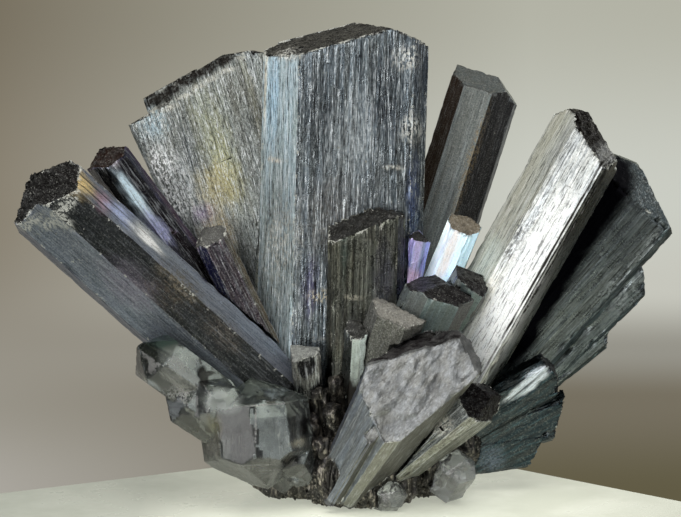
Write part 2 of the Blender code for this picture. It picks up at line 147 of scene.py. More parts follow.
def separated(tree, vector, axis):
    node = addNode(tree, "ShaderNodeSeparateXYZ")
    plug(tree, node.inputs[0], vector)
    return node.outputs[axis]


def combined(tree, x, y, z):
    node = addNode(tree, "ShaderNodeCombineXYZ")
    for socket, value in zip(node.inputs, (x, y, z)):
        plug(tree, socket, value)
    return node.outputs[0]


def textureSpace(tree, output):
    return addNode(tree, "ShaderNodeTexCoord").outputs[output]


def newGroup(name, vectorInputs, floatInputs, outputs):
    # a shader node group with named sockets; the float inputs are given with their defaults
    tree = bpy.data.node_groups.new(name, "ShaderNodeTree")
    new = tree.interface.new_socket
    for label in vectorInputs:
        new(name=label, in_out="INPUT", socket_type="NodeSocketVector")
    for label, default in floatInputs.items():
        new(name=label, in_out="INPUT", socket_type="NodeSocketFloat").default_value = default
    for label in outputs:
        kind = "NodeSocketColor" if label == "Color" else "NodeSocketFloat"
        new(name=label, in_out="OUTPUT", socket_type=kind)
    return tree, addNode(tree, "NodeGroupInput").outputs, addNode(tree, "NodeGroupOutput").inputs


def useGroup(tree, group, **values):
    node = addNode(tree, "ShaderNodeGroup", node_tree=group)
    for key, value in values.items():
        plug(tree, node.inputs[key], value)
    return node.outputs


def colourRamp(tree, amount, stops, interpolation="LINEAR"):
    node = addNode(tree, "ShaderNodeValToRGB")
    node.color_ramp.interpolation = interpolation
    elements = node.color_ramp.elements
    elements.remove(elements[0])
    elements[0].position, elements[0].color = stops[0][0], (*stops[0][1], 1.0)
    for position, colour in stops[1:]:
        elements.new(position).color = (*colour, 1.0)
    plug(tree, node.inputs[0], amount)
    return node.outputs[0]


def principled(tree, sockets):
    # the shader with its sockets joined or set by name
    shader = addNode(tree, "ShaderNodeBsdfPrincipled")
    for key, value in sockets.items():
        plug(tree, shader.inputs[key], value)
    return shader


def bumped(tree, height, strength):
    node = addNode(tree, "ShaderNodeBump")
    node.inputs["Strength"].default_value = strength
    node.inputs["Distance"].default_value = bumpDepth * mm
    plug(tree, node.inputs["Height"], height)
    return node.outputs[0]


def finishMaterial(tree, surface, volume=None):
    output = addNode(tree, "ShaderNodeOutputMaterial")
    tree.links.new(surface.outputs[0], output.inputs["Surface"])
    if volume:
        tree.links.new(volume.outputs[0], output.inputs["Volume"])


def grey(level):
    return level, level, level


cameraValues = {
    "target": (0, 0, 23.7), "azimuth": 0, "elevation": 9, "distance": 300,
    "viewWidth": 68.1, "sensor": 36, "clip": (0.01, 10),
}


def addCamera(values):
    back = towards(values["azimuth"], values["elevation"])
    data = bpy.data.cameras.new("camera")
    data.sensor_width = values["sensor"]
    data.lens = values["sensor"] * values["distance"] / values["viewWidth"]
    data.clip_start, data.clip_end = values["clip"]
    camera = addObject("camera", data)
    camera.location = (Vector(values["target"]) + back * values["distance"]) * mm
    camera.rotation_mode = "QUATERNION"
    camera.rotation_quaternion = (-back).to_track_quat("-Z", "Y")
    scene.camera = camera


addCamera(cameraValues)
scene.view_settings.view_transform = "Standard"


slabValues = {
    "corners": ((-60, -14.6), (6.35, 21.8), (60, -28), (60, -46), (-60, -46)),
    "thickness": 9, "bevel": 0.9, "gap": 0.02,  # the gap keeps it just clear of the object
    "colour": (0.56, 0.58, 0.51), "cloud": (0.42, 0.44, 0.37), "rough": (0.2, 0.45),
    "glow": (0.62, 0.64, 0.54), "glowing": 0.6,  # painted light: the slab glows to lift it, though it is no lamp
    "shade": [(0, (0.44, 0.45, 0.47)), (0.3, (0.51, 0.52, 0.53)), (0.42, grey(1)),
              (0.64, grey(0.95)), (0.82, grey(0.66)), (1, grey(0.64))],
    "shadeSpan": (-50, 50),  # the shade runs from left to right over this
}


def addSlab(values):
    # a cut slab of pale stone with one corner behind the object
    bm = bmesh.new()
    face = bm.faces.new([bm.verts.new((x * mm, y * mm, 0.0)) for x, y in values["corners"]])
    walls = bmesh.ops.extrude_face_region(bm, geom=[face])
    lowered = [v for v in walls["geom"] if isinstance(v, bmesh.types.BMVert)]
    bmesh.ops.translate(bm, verts=lowered, vec=(0, 0, -values["thickness"] * mm))
    bmesh.ops.recalc_face_normals(bm, faces=bm.faces)
    bmesh.ops.bevel(bm, geom=bm.edges[:], offset=values["bevel"] * mm, segments=3,
                    affect="EDGES", profile=0.5)
    lift = max(v.co.z for v in bm.verts)
    bmesh.ops.translate(bm, verts=bm.verts, vec=(0, 0, -lift - values["gap"] * mm))
    mesh = bpy.data.meshes.new("slab")
    bm.to_mesh(mesh)
    bm.free()
    slab = addObject("slab", mesh)
    material, tree = newMaterial("paleSlab")
    place = textureSpace(tree, "Object")
    cloud = noiseNode(tree, place, scale=70.0, detail=5.0, roughness=0.6)
    left, right = [x * mm for x in values["shadeSpan"]]
    across = remap(tree, separated(tree, place, "X"), left, right, smooth=False)
    # painted light and shade across the slab: darker at the left and right, brightest in the middle
    shade = colourRamp(tree, across, values["shade"])
    colour = blendColours(tree, remap(tree, cloud, 0.4, 0.66), values["colour"], values["cloud"])
    finishMaterial(tree, principled(tree, {
        "Base Color": multiplied(tree, colour, shade),
        "Roughness": remap(tree, cloud, 0.3, 0.7, *values["rough"]),
        "Specular IOR Level": 0.35,
        # painted light: the slab's glow, shaded across like its colour
        "Emission Color": multiplied(tree, values["glow"], shade),
        "Emission Strength": values["glowing"]}))
    mesh.materials.append(material)


backdropValues = {
    "distance": 130, "width": 420, "low": -120, "high": 190,
    "span": (-52, 27), "rise": (-35, 45),  # where the two sides blend, and each side's ramp
    "left": [(0.04, (0.4, 0.38, 0.34)), (0.22, (0.31, 0.29, 0.245)), (0.58, (0.24, 0.21, 0.158)),
             (0.95, (0.18, 0.155, 0.11))],
    "right": [(0.04, (0.12, 0.105, 0.06)), (0.22, (0.18, 0.16, 0.118)), (0.31, (0.3, 0.29, 0.25)),
              (0.42, (0.56, 0.56, 0.5)), (0.58, (0.59, 0.605, 0.545)), (0.95, (0.45, 0.45, 0.38))],
}


def addBackdrop(values):
    mesh = bpy.data.meshes.new("backdrop")
    half, far = values["width"] / 2, values["distance"]
    corners = [(x, far, z) for z in (values["high"], values["low"]) for x in (-half, half)]
    mesh.from_pydata([Vector(c) * mm for c in corners], [], [(0, 2, 3, 1)])
    backdrop = addObject("backdrop", mesh)
    material, tree = newMaterial("softBackdrop")
    place = textureSpace(tree, "Object")
    across, upward = [
        remap(tree, separated(tree, place, axis), values[reach][0] * mm, values[reach][1] * mm,
              smooth=False) for axis, reach in (("X", "span"), ("Z", "rise"))]
    # painted light and shade on the backdrop: the left darkens upwards; the right is brightest half
    # way up, over a dark band low down
    sides = [colourRamp(tree, upward, values[side], "EASE") for side in ("left", "right")]
    shader = addNode(tree, "ShaderNodeEmission")
    plug(tree, shader.inputs["Color"], blendColours(tree, across, *sides))
    # seen from behind it is clear, so that the back of the spray can be looked at
    side = addNode(tree, "ShaderNodeMixShader")
    plug(tree, side.inputs[0], addNode(tree, "ShaderNodeNewGeometry").outputs["Backfacing"])
    tree.links.new(shader.outputs[0], side.inputs[1])
    tree.links.new(addNode(tree, "ShaderNodeBsdfTransparent").outputs[0], side.inputs[2])
    finishMaterial(tree, side)
    mesh.materials.append(material)


# each light's place as azimuth and elevation, how far off it is, its size, glow and colour;
# one that is not mirrored lights dull surfaces only
lights = {
    "windowLeft": {"at": (-34, 14), "away": 620, "size": (500, 520), "glow": 2.6,
                   "colour": (1, 0.99, 0.96), "mirrored": True},
    "windowRight": {"at": (52, 14), "away": 620, "size": (160, 360), "glow": 0.9,
                    "colour": (0.93, 0.97, 1), "mirrored": True},
    "sideLeft": {"at": (-92, 2), "away": 560, "size": (220, 260), "glow": 1.9,
                 "colour": (0.9, 0.97, 1), "mirrored": True},
    "sideRight": {"at": (95, 2), "away": 560, "size": (150, 260), "glow": 0.7,
                  "colour": (0.86, 0.93, 1), "mirrored": True},
    "behindRight": {"at": (128, 22), "away": 560, "size": (220, 260), "glow": 2.2,
                    "colour": (0.98, 0.98, 1), "mirrored": True},
    "overhead": {"at": (0, 64), "away": 620, "size": (620, 520), "glow": 6,
                 "colour": (1, 0.98, 0.93), "mirrored": False},
}


def addLight(name, values):
    data = bpy.data.lights.new(name, "AREA")
    data.shape = "RECTANGLE"
    data.size, data.size_y = [side * mm for side in values["size"]]
    data.energy = math.pi * data.size * data.size_y * values["glow"]
    data.color = values["colour"]
    light = addObject(name, data)
    away = towards(*values["at"])
    light.location = (Vector(cameraValues["target"]) + away * values["away"]) * mm
    light.rotation_mode = "QUATERNION"
    light.rotation_quaternion = away.to_track_quat("Z", "Y")
    light.visible_glossy = light.visible_transmission = values["mirrored"]


surroundings = {
    "glow": [(0, grey(0.04)), (0.42, grey(0.08)), (0.5, grey(0.2)), (0.62, grey(0.14)),
             (1, grey(0.03))],  # from straight down to straight up
    "open": (0.36, 0.35, 0.31),  # what is seen past the backdrop in other views
}


def addSurroundings(values):
    world = bpy.data.worlds.new("studio")
    world.use_nodes = True
    tree = world.node_tree
    tree.nodes.clear()
    height = separated(tree, textureSpace(tree, "Generated"), "Z")
    glow = colourRamp(tree, remap(tree, height, -1.0, 1.0, smooth=False), values["glow"])
    background = addNode(tree, "ShaderNodeBackground")
    seen = addNode(tree, "ShaderNodeLightPath").outputs["Is Camera Ray"]
    plug(tree, background.inputs["Color"], blendColours(tree, seen, glow, values["open"]))
    tree.links.new(background.outputs[0], addNode(tree, "ShaderNodeOutputWorld").inputs[0])
    scene.world = world


addSlab(slabValues)
addBackdrop(backdropValues)
for name, values in lights.items():
    addLight(name, values)
addSurroundings(surroundings)
print("camera, slab, backdrop and lights are placed")


def makeStriations():
    # fine growth lines along a crystal, from its grain coordinates in millimetres
    tree, given, put = newGroup(
        "striations", ["Grain"], {"Pitch": 3.0, "Stretch": 0.03, "Offset": 0.0},
        ["Dark", "Light", "Bands", "Height"])
    shift = combined(tree, *[given["Offset"]] * 3)
    layers = []
    for pitch, stretch, detail in ((1.0, 1.0, 3.0), (1.25, 3.5, 2.0), (0.27, 1.0, 2.0)):
        across = times(tree, given["Pitch"], pitch)
        along = times(tree, times(tree, across, given["Stretch"]), stretch)
        scale = combined(tree, across, across, along)
        place = vectors(tree, "ADD", stretched(tree, given["Grain"], scale), shift)
        layers.append(noiseNode(tree, place, detail=detail, roughness=0.6))
    long, short, broad = layers
    mixed = maths(tree, "MULTIPLY_ADD", short, 0.5, times(tree, long, 0.5))
    plug(tree, put["Dark"], remap(tree, mixed, 0.49, 0.38))
    plug(tree, put["Light"], remap(tree, mixed, 0.51, 0.63))
    plug(tree, put["Bands"], remap(tree, broad, 0.38, 0.62))
    plug(tree, put["Height"], maths(tree, "MULTIPLY_ADD", broad, 0.4, mixed))
    return tree


def makeTarnish():
    # interference colours of the thin film on tarnished stibnite; thickness runs from 0 to 1
    tree, given, put = newGroup("tarnishFilm", [], {"Thickness": 0.0, "Vividness": 0.5}, ["Color"])
    film = colourRamp(tree, given["Thickness"], [
        (0.00, (0.62, 0.64, 0.65)), (0.14, (0.66, 0.62, 0.47)), (0.27, (0.58, 0.40, 0.17)),
        (0.38, (0.46, 0.20, 0.28)), (0.48, (0.30, 0.17, 0.45)), (0.58, (0.15, 0.22, 0.52)),
        (0.70, (0.34, 0.55, 0.75)), (0.82, (0.52, 0.72, 0.70)), (0.91, (0.60, 0.62, 0.38)),
        (1.0, (0.55, 0.30, 0.40))])
    bare = (0.58, 0.60, 0.61)
    plug(tree, put["Color"], blendColours(tree, given["Vividness"], bare, film))
    return tree


def makePatch():
    # a ragged patch round one place; speckle breaks it into crumbs
    tree, given, put = newGroup(
        "patch", ["Grain", "Centre", "Size"], {"Ragged": 0.35, "Speckle": 0.0}, ["Mask"])
    away = vectors(tree, "SUBTRACT", given["Grain"], given["Centre"])
    away = vectors(tree, "DIVIDE", away, given["Size"])
    stray = noiseNode(tree, stretched(tree, given["Grain"], (1.6, 1.6, 0.5)), detail=3.0)
    distance = sway(tree, vectors(tree, "LENGTH", away), stray, times(tree, given["Ragged"], 4.0))
    crumbs = noiseNode(tree, stretched(tree, given["Grain"], (4.5, 4.5, 2.8)), roughness=0.6)
    holes = times(tree, remap(tree, crumbs, 0.54, 0.46), given["Speckle"])
    whole = maths(tree, "SUBTRACT", 1.0, holes)
    plug(tree, put["Mask"], times(tree, remap(tree, distance, 1.4, 0.25), whole))
    return tree


def makeCrust():
    # powdery or sugary coating in speckled patches
    tree, given, put = newGroup(
        "crust", ["Place"], {"Scale": 1.5, "Cover": 0.3}, ["Mask", "Height"])
    spread = noiseNode(tree, given["Place"], scale=given["Scale"], detail=4.0, roughness=0.65)
    grit = noiseNode(tree, given["Place"], scale=times(tree, given["Scale"], 5.0), roughness=0.7)
    level = sway(tree, spread, grit, 0.5)
    edge = maths(tree, "SUBTRACT", 0.95, given["Cover"])
    plug(tree, put["Mask"], remap(tree, maths(tree, "SUBTRACT", level, edge), -0.22, -0.08))
    plug(tree, put["Height"], grit)
    return tree


def makeWornEdge():
    # pale crumbling line along worn edges
    tree, given, put = newGroup("wornEdge", ["Place"], {"Wear": 0.0, "Breadth": 0.5}, ["Mask"])
    broken = noiseNode(tree, given["Place"], scale=1.1, roughness=0.6)
    crumbs = noiseNode(tree, given["Place"], scale=5.0, roughness=0.6)
    level = sway(tree, sway(tree, given["Wear"], broken, 2.6), crumbs, 2.0)
    edge = maths(tree, "SUBTRACT", 1.0, given["Breadth"])
    plug(tree, put["Mask"], remap(tree, maths(tree, "SUBTRACT", level, edge), -0.05, 0.15))
    return tree


def makeSugar():
    # fine light and dark grains
    tree, given, put = newGroup(
        "sugarGrain", ["Place"], {"Scale": 6.0}, ["Dark", "Light", "Height"])
    grit = noiseNode(tree, given["Place"], scale=given["Scale"], roughness=0.65)
    plug(tree, put["Dark"], remap(tree, grit, 0.48, 0.36))
    plug(tree, put["Light"], remap(tree, grit, 0.56, 0.66))
    plug(tree, put["Height"], grit)
    return tree


striations = makeStriations()
tarnishFilm = makeTarnish()
patch = makePatch()
crust = makeCrust()
wornEdge = makeWornEdge()
sugarGrain = makeSugar()


def attribute(tree, name, output):
    return addNode(tree, "ShaderNodeAttribute", attribute_name=name).outputs[output]


def objectPlace(tree):
    # the place on the object in millimetres
    return stretched(tree, textureSpace(tree, "Object"), grey(1 / mm))


def paintPatches(tree, grain, patches, colour, matte, where=1.0, ragged=0.35):
    # where limits them to the sides or to the ends; an amount above 1 gives a crisper edge
    for centre, size, tint, amount, dull, speckle in patches:
        spot = useGroup(tree, patch, Grain=grain, Centre=centre, Size=size, Speckle=speckle,
                        Ragged=ragged)
        mask = times(tree, spot["Mask"], where)
        colour = blendColours(tree, times(tree, mask, amount, clamp=True), colour, tint)
        if dull:
            matte = maths(tree, "MAXIMUM", matte, times(tree, mask, dull))
    return colour, matte


def stibnite(name, look, offset, patches, capPatches, shadowsAndCrust):
    # metal that follows the crystal's grain: film colours, lines, crust, broken tips and pale
    # edges, with painted light and shade on top
    material, tree = newMaterial(name)
    grain = attribute(tree, "grain", "Vector")
    place = objectPlace(tree)
    tint = addNode(tree, "ShaderNodeAttribute", attribute_name="tint").outputs
    cap = remap(tree, attribute(tree, "cap", "Fac"), 0.35, 0.65)
    lines = useGroup(tree, striations, Grain=grain, Pitch=look["pitch"], Stretch=look["stretch"],
                     Offset=offset)
    sugar = useGroup(tree, sugarGrain, Place=place, Scale=look["sugarScale"])
    wander = noiseNode(tree, stretched(tree, grain, (0.45, 0.45, 0.12)), detail=3.0, distortion=0.4)
    filmBase, filmRise, filmWander = look["film"]
    thickness = maths(tree, "MULTIPLY_ADD", separated(tree, grain, "Z"), filmRise, filmBase)
    thickness = sway(tree, sway(tree, thickness, wander, filmWander), lines["Bands"], 0.10)
    film = useGroup(tree, tarnishFilm, Thickness=thickness, Vividness=look["vivid"])
    colour = multiplied(tree, film["Color"], look["tone"])
    colour = blendColours(tree, cap, colour, look["capColour"])
    colour = multiplied(tree, colour, tint["Color"])
    colour = blendColours(tree, times(tree, lines["Bands"], look["banding"]), colour, look["shade"])
    matte = maths(tree, "MAXIMUM", tint["Alpha"], times(tree, cap, look["capMatte"]))
    notCap = maths(tree, "SUBTRACT", 1.0, cap)
    colour, matte = paintPatches(tree, grain, patches, colour, matte, notCap)
    colour, matte = paintPatches(tree, grain, capPatches, colour, matte, cap)
    sides = maths(tree, "MULTIPLY_ADD", cap, -0.85, 1.0)
    # the striations' dark and light streaks: real growth lines, with the reflections of their
    # facets painted in
    dark = times(tree, lines["Dark"], times(tree, sides, look["lining"]))
    colour = blendColours(tree, dark, colour, look["lineColour"])
    light = times(tree, lines["Light"], times(tree, sides, look["gleam"]))
    colour = blendColours(tree, light, colour, look["gleamColour"])
    # light and dark grains: real pale grains and pits, the light ones also painted glints
    grains = maths(tree, "MULTIPLY_ADD", cap, look["capSugar"] - look["sugar"], look["sugar"])
    colour = blendColours(tree, times(tree, sugar["Dark"], grains), colour, grey(0.012))
    colour = blendColours(tree, times(tree, sugar["Light"], times(tree, grains, 0.7)), colour,
                          look["edgeColour"])
    coat = useGroup(tree, crust, Place=place, Scale=look["crustScale"], Cover=look["crust"])
    colour = blendColours(tree, coat["Mask"], colour, look["crustColour"])
    edge = useGroup(tree, wornEdge, Wear=attribute(tree, "wear", "Fac"), Place=place,
                    Breadth=look["edging"])["Mask"]
    colour = blendColours(tree, times(tree, edge, 0.8), colour, look["edgeColour"])
    # painted shade: darker in the hollows of the relief
    hollowShade = times(tree, attribute(tree, "hollow", "Fac"), look["hollowShade"])
    colour = blendColours(tree, hollowShade, colour, (0.015, 0.014, 0.013))
    # painted shadows and dark reflections, and some crust, over everything else
    colour, matte = paintPatches(tree, grain, shadowsAndCrust, colour, matte, ragged=look["ragged"])
    matte = maths(tree, "MAXIMUM", matte, times(tree, coat["Mask"], 0.8))
    matte = maths(tree, "MAXIMUM", matte, times(tree, edge, 0.6))
    rough = remap(tree, noiseNode(tree, place, scale=0.9, detail=3.0), 0.3, 0.7, *look["rough"])
    height = maths(tree, "MULTIPLY_ADD", coat["Height"], times(tree, coat["Mask"], 0.9),
                   times(tree, lines["Height"], sides))
    relief = maths(tree, "MULTIPLY_ADD", cap, look["capSugar"], 0.2 + look["sugar"])
    height = maths(tree, "MULTIPLY_ADD", sugar["Height"], relief, height)
    finishMaterial(tree, principled(tree, {
        "Base Color": colour,
        "Roughness": maths(tree, "MULTIPLY_ADD", matte, 0.35, rough, clamp=True),
        # where it is matte the metal keeps its tone from every side
        "Metallic": maths(tree, "MULTIPLY_ADD", matte, -0.95, 1.0, clamp=True),
        "Specular IOR Level": 0.25,
        "Normal": bumped(tree, height, look["bump"])}))
    return material


def axisFrame(values):
    # the crystal's own frame: Z runs from root to tip and X across its width
    root = Vector(values["root"])
    along = (Vector(values["tip"]) - root).normalized()
    across = Vector((0, 1, 0)).cross(along).normalized()
    turned = Matrix((across, along.cross(across), along)).transposed()
    turned = turned @ Matrix.Rotation(math.radians(values["roll"]), 3, "Z")
    return Matrix.Translation(root) @ turned.to_4x4()


def levels(low, high, step, stray, seed):
    # places for cuts between two ends, about one step apart and a little uneven
    draw = random.Random(seed)
    count = max(1, round((high - low) / step))
    return [low + (high - low) * (i + stray * draw.uniform(-0.5, 0.5)) / count
            for i in range(1, count)]


def cutAcross(bm, faces, axis, places):
    # splits the faces at every place along one axis, halving the list each time
    if not places or not faces:
        return
    middle = len(places) // 2
    normal = Vector((0, 0, 0))
    normal[axis] = 1.0
    touched = set(faces)
    for face in faces:
        touched.update(face.verts)
        touched.update(face.edges)
    cut = bmesh.ops.bisect_plane(bm, geom=list(touched), dist=1e-5,
                                 plane_co=normal * places[middle], plane_no=normal)
    below, above = [], []
    for item in cut["geom"]:
        if isinstance(item, bmesh.types.BMFace):
            side = below if item.calc_center_median()[axis] < places[middle] else above
            side.append(item)
    cutAcross(bm, below, axis, places[:middle])
    cutAcross(bm, above, axis, places[middle + 1:])


def spanFromMiddle(face):
    # how near to the crystal's middle plane a face comes, and how far from it
    away = [abs(v.co.y) for v in face.verts]
    return min(away), max(away)


def openNode(name, own, half=100.0):
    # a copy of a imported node's mesh in millimetres, in the crystal's own frame, with whole flat
    # faces; its main edges are marked as seams, but not those of the thin laths on the broad faces
    bm = bmesh.new()
    bm.from_mesh(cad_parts[name].data)
    bmesh.ops.transform(bm, matrix=own.inverted() @ Matrix.Scale(1000.0, 4), verts=bm.verts)
    bmesh.ops.remove_doubles(bm, verts=bm.verts, dist=0.003)
    bmesh.ops.dissolve_limit(bm, angle_limit=math.radians(0.4), verts=bm.verts, edges=bm.edges)
    for edge in bm.edges:
        spans = [spanFromMiddle(f) for f in edge.link_faces]
        onLath = any(near > half - lathSlack and far > half + lathSlack for near, far in spans)
        slim = any(2 * f.calc_area() / f.calc_perimeter() <= slimFace for f in edge.link_faces)
        edge.seam = (not onLath and not slim and edge.is_manifold
                     and edge.calc_face_angle() > math.radians(mainAngle))
    return bm


def mainEdges(bm):
    # a search tree of the points on the main edges, and how worn each is: crests at the tip most
    worn = {}
    for edge in bm.edges:
        if edge.seam:
            steep = [abs(f.normal.z) > 0.45 for f in edge.link_faces]
            for v in edge.verts:
                worn[v] = max(worn.get(v, 0.0), 1.0 if any(steep) and not all(steep) else 0.55)
    tree = KDTree(len(worn))
    for index, v in enumerate(worn):
        tree.insert(v.co, index)
    tree.balance()
    return tree, list(worn.values())


def lathWalls(bm, half):
    # vertices on the thin sides and ends of the laths, which look like the broad face they stand on
    return {v for f in bm.faces if abs(f.normal.y) < 0.7 and spanFromMiddle(f)[0] > half - lathSlack
            for v in f.verts}


def refine(bm, steps, seed):
    # cuts the whole mesh along, across and through
    for axis in (2, 0, 1):
        low = min(v.co[axis] for v in bm.verts)
        high = max(v.co[axis] for v in bm.verts)
        stray = 0.7 if axis == 2 else 0.3
        cutAcross(bm, bm.faces[:], axis, levels(low, high, steps[axis], stray, seed + axis))


def smoothStep(value, low, high):
    share = min(1.0, max(0.0, (value - low) / (high - low)))
    return share * share * (3 - 2 * share)


def grainOf(point, fan):
    # coordinates that follow the growth lines; a fan's lines spread from a point below its root
    if not fan:
        return Vector(point)
    apex, reach = fan
    x, z = point.x - apex[0], point.z - apex[1]
    return Vector((math.atan2(x, z) * reach, point.y, math.hypot(x, z)))


def terraces(value, count):
    # turns a smooth rise into steps
    scaled = value * count
    whole = math.floor(scaled)
    return (whole + smoothStep(scaled - whole, 0.35, 0.65)) / count


def facetWays(facets):
    return [(directionOf(angle, rise), Vector((*tint, matte)))
            for angle, rise, tint, matte in facets]


def facetTint(normal, ways):
    # the tint, painted light or shade with the facet's own colour, and the matte of the facets that
    # a normal belongs to; white where it belongs to none
    blend, total = Vector((0, 0, 0, 0)), 0.0
    for way, tint in ways:
        share = smoothStep(normal.dot(way), 0.90, 0.985)
        blend += tint * share
        total += share
    if total > 1.0:
        return blend / total
    return blend + Vector((1, 1, 1, 0)) * (1.0 - total)


def metalLayers(bm):
    # what the metal reads: grain, tint, wear, cap and hollow
    made = bm.verts.layers
    return (made.float_vector.new("grain"), made.float_color.new("tint"),
            *[made.float.new(name) for name in ("wear", "cap", "hollow")])


def scaledBy(point, x, y, z):
    return Vector((point.x * x, point.y * y, point.z * z))


def roughen(bm, values, own, seed):
    # moves the fine mesh into ribs, growth steps, chips and broken ends, and fills the layers
    bm.normal_update()
    tree, worn = mainEdges(bm)
    grainLayer, tintLayer, wearLayer, capLayer, hollowLayer = metalLayers(bm)
    shift = Vector((seed * 3.7, seed * 1.9, seed * 5.3))
    ribs, ribPitch = values["ribs"]
    steps, stepPitch = values["steps"]
    fine, finePitch = values["fine"]
    ways = facetWays(values["facets"])
    marks = [(grainOf(own.inverted() @ Vector(at), values["fan"]), size, depth)
             for at, size, depth in values["marks"]]
    moved = []
    half = values["thickness"] / 2
    walls = lathWalls(bm, half)
    for v in bm.verts:
        point, normal = v.co, v.normal
        if v in walls:
            normal = Vector((0.0, math.copysign(1.0, point.y), 0.0))
        grain = grainOf(point, values["fan"])
        line = scaledBy(grain, 1, 1, 0.05) + shift
        _, nearest, distance = tree.find(point)
        wear = worn[nearest] * (1.0 - smoothStep(distance, 0.0, values["wearReach"]))
        cap = values["capShare"] * smoothStep(abs(normal.z), *values["capSlope"])
        broad = noise.noise(line * ribPitch)
        step = scaledBy(line, stepPitch, stepPitch, stepPitch * 0.7) + Vector((0, 0, 7))
        step = terraces(noise.noise(step), 4)
        thin = noise.noise(line * finePitch + Vector((0, 0, 31)))
        height = (1.0 - cap) * (ribs * broad + steps * step + fine * thin)
        if cap > 0:
            across, along, depth = values["capRelief"]
            place = scaledBy(point, across, across, along) + shift
            height -= cap * depth * noise.turbulence(place, 3, values["capSharp"])
        chip = noise.noise(scaledBy(point, 1.6, 1.6, 0.9) + shift) - 0.1
        if chip > 0 and wear > 0:
            height -= values["chips"] * wear * chip * (1 + noise.noise(point * 4.0 + shift))
        height -= values["crumble"] * wear * max(0.0, noise.noise(point * 3.3 + shift))
        for at, size, depth in marks:
            away = Vector([(here - middle) / reach for here, middle, reach in zip(grain, at, size)])
            distance = away.length + 0.5 * noise.noise(point * 1.5 + shift)
            inside = 1.0 - smoothStep(distance, 0.65, 1.0)
            if inside > 0:
                uneven = noise.turbulence(point * 1.8 + shift, 2, True)
                height -= inside * depth * (0.6 + 0.8 * uneven)
        v[grainLayer] = grain
        v[tintLayer] = facetTint(normal, ways)
        v[wearLayer] = wear
        v[capLayer] = cap
        v[hollowLayer] = smoothStep(-height, *values["hollowDepth"])
        move = normal * (height - values["inset"])
        proud = abs(point.y) - half
        if proud > 0:
            move.y -= math.copysign(proud * (1.0 - values["laths"]), point.y)
        moved.append((v, move))
    for v, move in moved:
        v.co += move


def settle(moved):
    # moves the vertices but none below the ground
    for v, move in moved:
        v.co += move
        v.co.z = max(v.co.z, 0.0)


def finishPiece(bm, name, own, material, nodeName, angle=28.0):
    bmesh.ops.transform(bm, matrix=Matrix.Scale(mm, 4) @ own, verts=bm.verts)
    bmesh.ops.triangulate(bm, faces=bm.faces[:])
    mesh = bpy.data.meshes.new(name)
    bm.to_mesh(mesh)
    bm.free()
    for polygon in mesh.polygons:
        polygon.use_smooth = True
    mesh.set_sharp_from_angle(angle=math.radians(angle))
    mesh.materials.append(material)
    piece = addObject(name, mesh)
    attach(piece, "root")
    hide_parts(nodeName)
    print(name, len(mesh.polygons), "triangles")
    return piece


# What every crystal starts from; each crystal's own dictionary says where it differs.
# root and tip lie on its middle line; grid is how finely its mesh is cut across, through and along.
# ribs, steps and fine are (height, how many to a mm); capRelief is (across, along, depth).
# laths is how much of the growth laths' height is kept beyond half the crystal's thickness.
# fan is (the point that the growth lines spread from, how far off they are counted).
# film is the tarnish (at the root, rise to a mm, unevenness).
# facets are (angle round the axis, rise towards the tip, tint, matte); the tint paints the light or
# shade on faces that look that way, with their own colour; marks (place, size, depth).
# patches lie on the sides, capPatches on the ends and the shadows and crust over all: painted
# shadows, painted dark reflections and some crust; they are
# (place, (across, along) or a full size, tint, amount, matte, speckle).
plainCrystal = {
    "grid": (0.11, 0.11, 0.45), "fan": None, "roll": 0, "thickness": 100, "laths": 0,
    "facets": [], "patches": [], "capPatches": [], "shadowsAndCrust": [], "ragged": 0.35, "marks": [],
    "ribs": (0.02, 1.8), "steps": (0.035, 3.4), "fine": (0.015, 5.5), "inset": 0.02,
    "chips": 0.6, "wearReach": 0.55, "crumble": 0.12, "hollowDepth": (0.05, 0.35),
    "capRelief": (1.4, 0.5, 0.15), "capShare": 1, "capSlope": (0.35, 0.6), "capSharp": True,
    "capSugar": 0.35, "capColour": (0.024, 0.023, 0.022), "capMatte": 0.3,
    "pitch": 5.5, "stretch": 0.035, "film": (0.05, 0, 0.25), "vivid": 0.35, "tone": grey(1),
    "shade": grey(0.12), "banding": 0.3, "lining": 0.75, "lineColour": (0.025, 0.026, 0.028),
    "gleam": 0.45, "gleamColour": (0.75, 0.79, 0.82), "sugar": 0.25, "sugarScale": 6,
    "crust": 0.05, "crustScale": 1.3, "crustColour": (0.3, 0.3, 0.26),
    "edging": -0.3, "edgeColour": (0.5, 0.51, 0.47), "hollowShade": 0.4, "rough": (0.2, 0.38),
    "bump": 0.8,
}


def ownPatches(patches, own, fan):
    # the same patches with their places in grain coordinates; a flat one keeps to its own side
    through = 3.0
    return [(grainOf(own.inverted() @ Vector(at), fan),
             size if len(size) == 3 else (size[0], through, size[1]), *finish)
            for at, size, *finish in patches]


def growCrystal(given):
    values = {**plainCrystal, **given}
    seed = values["seed"]
    own = axisFrame(values)
    bm = openNode(values["node"], own, values["thickness"] / 2)
    refine(bm, values["grid"], seed)
    roughen(bm, values, own, seed)
    painted = [ownPatches(values[kind], own, values["fan"])
               for kind in ("patches", "capPatches", "shadowsAndCrust")]
    material = stibnite(values["node"] + "Metal", values, seed * 1.7, *painted)
    return finishPiece(bm, values["node"] + "_skin", own, material, values["node"])


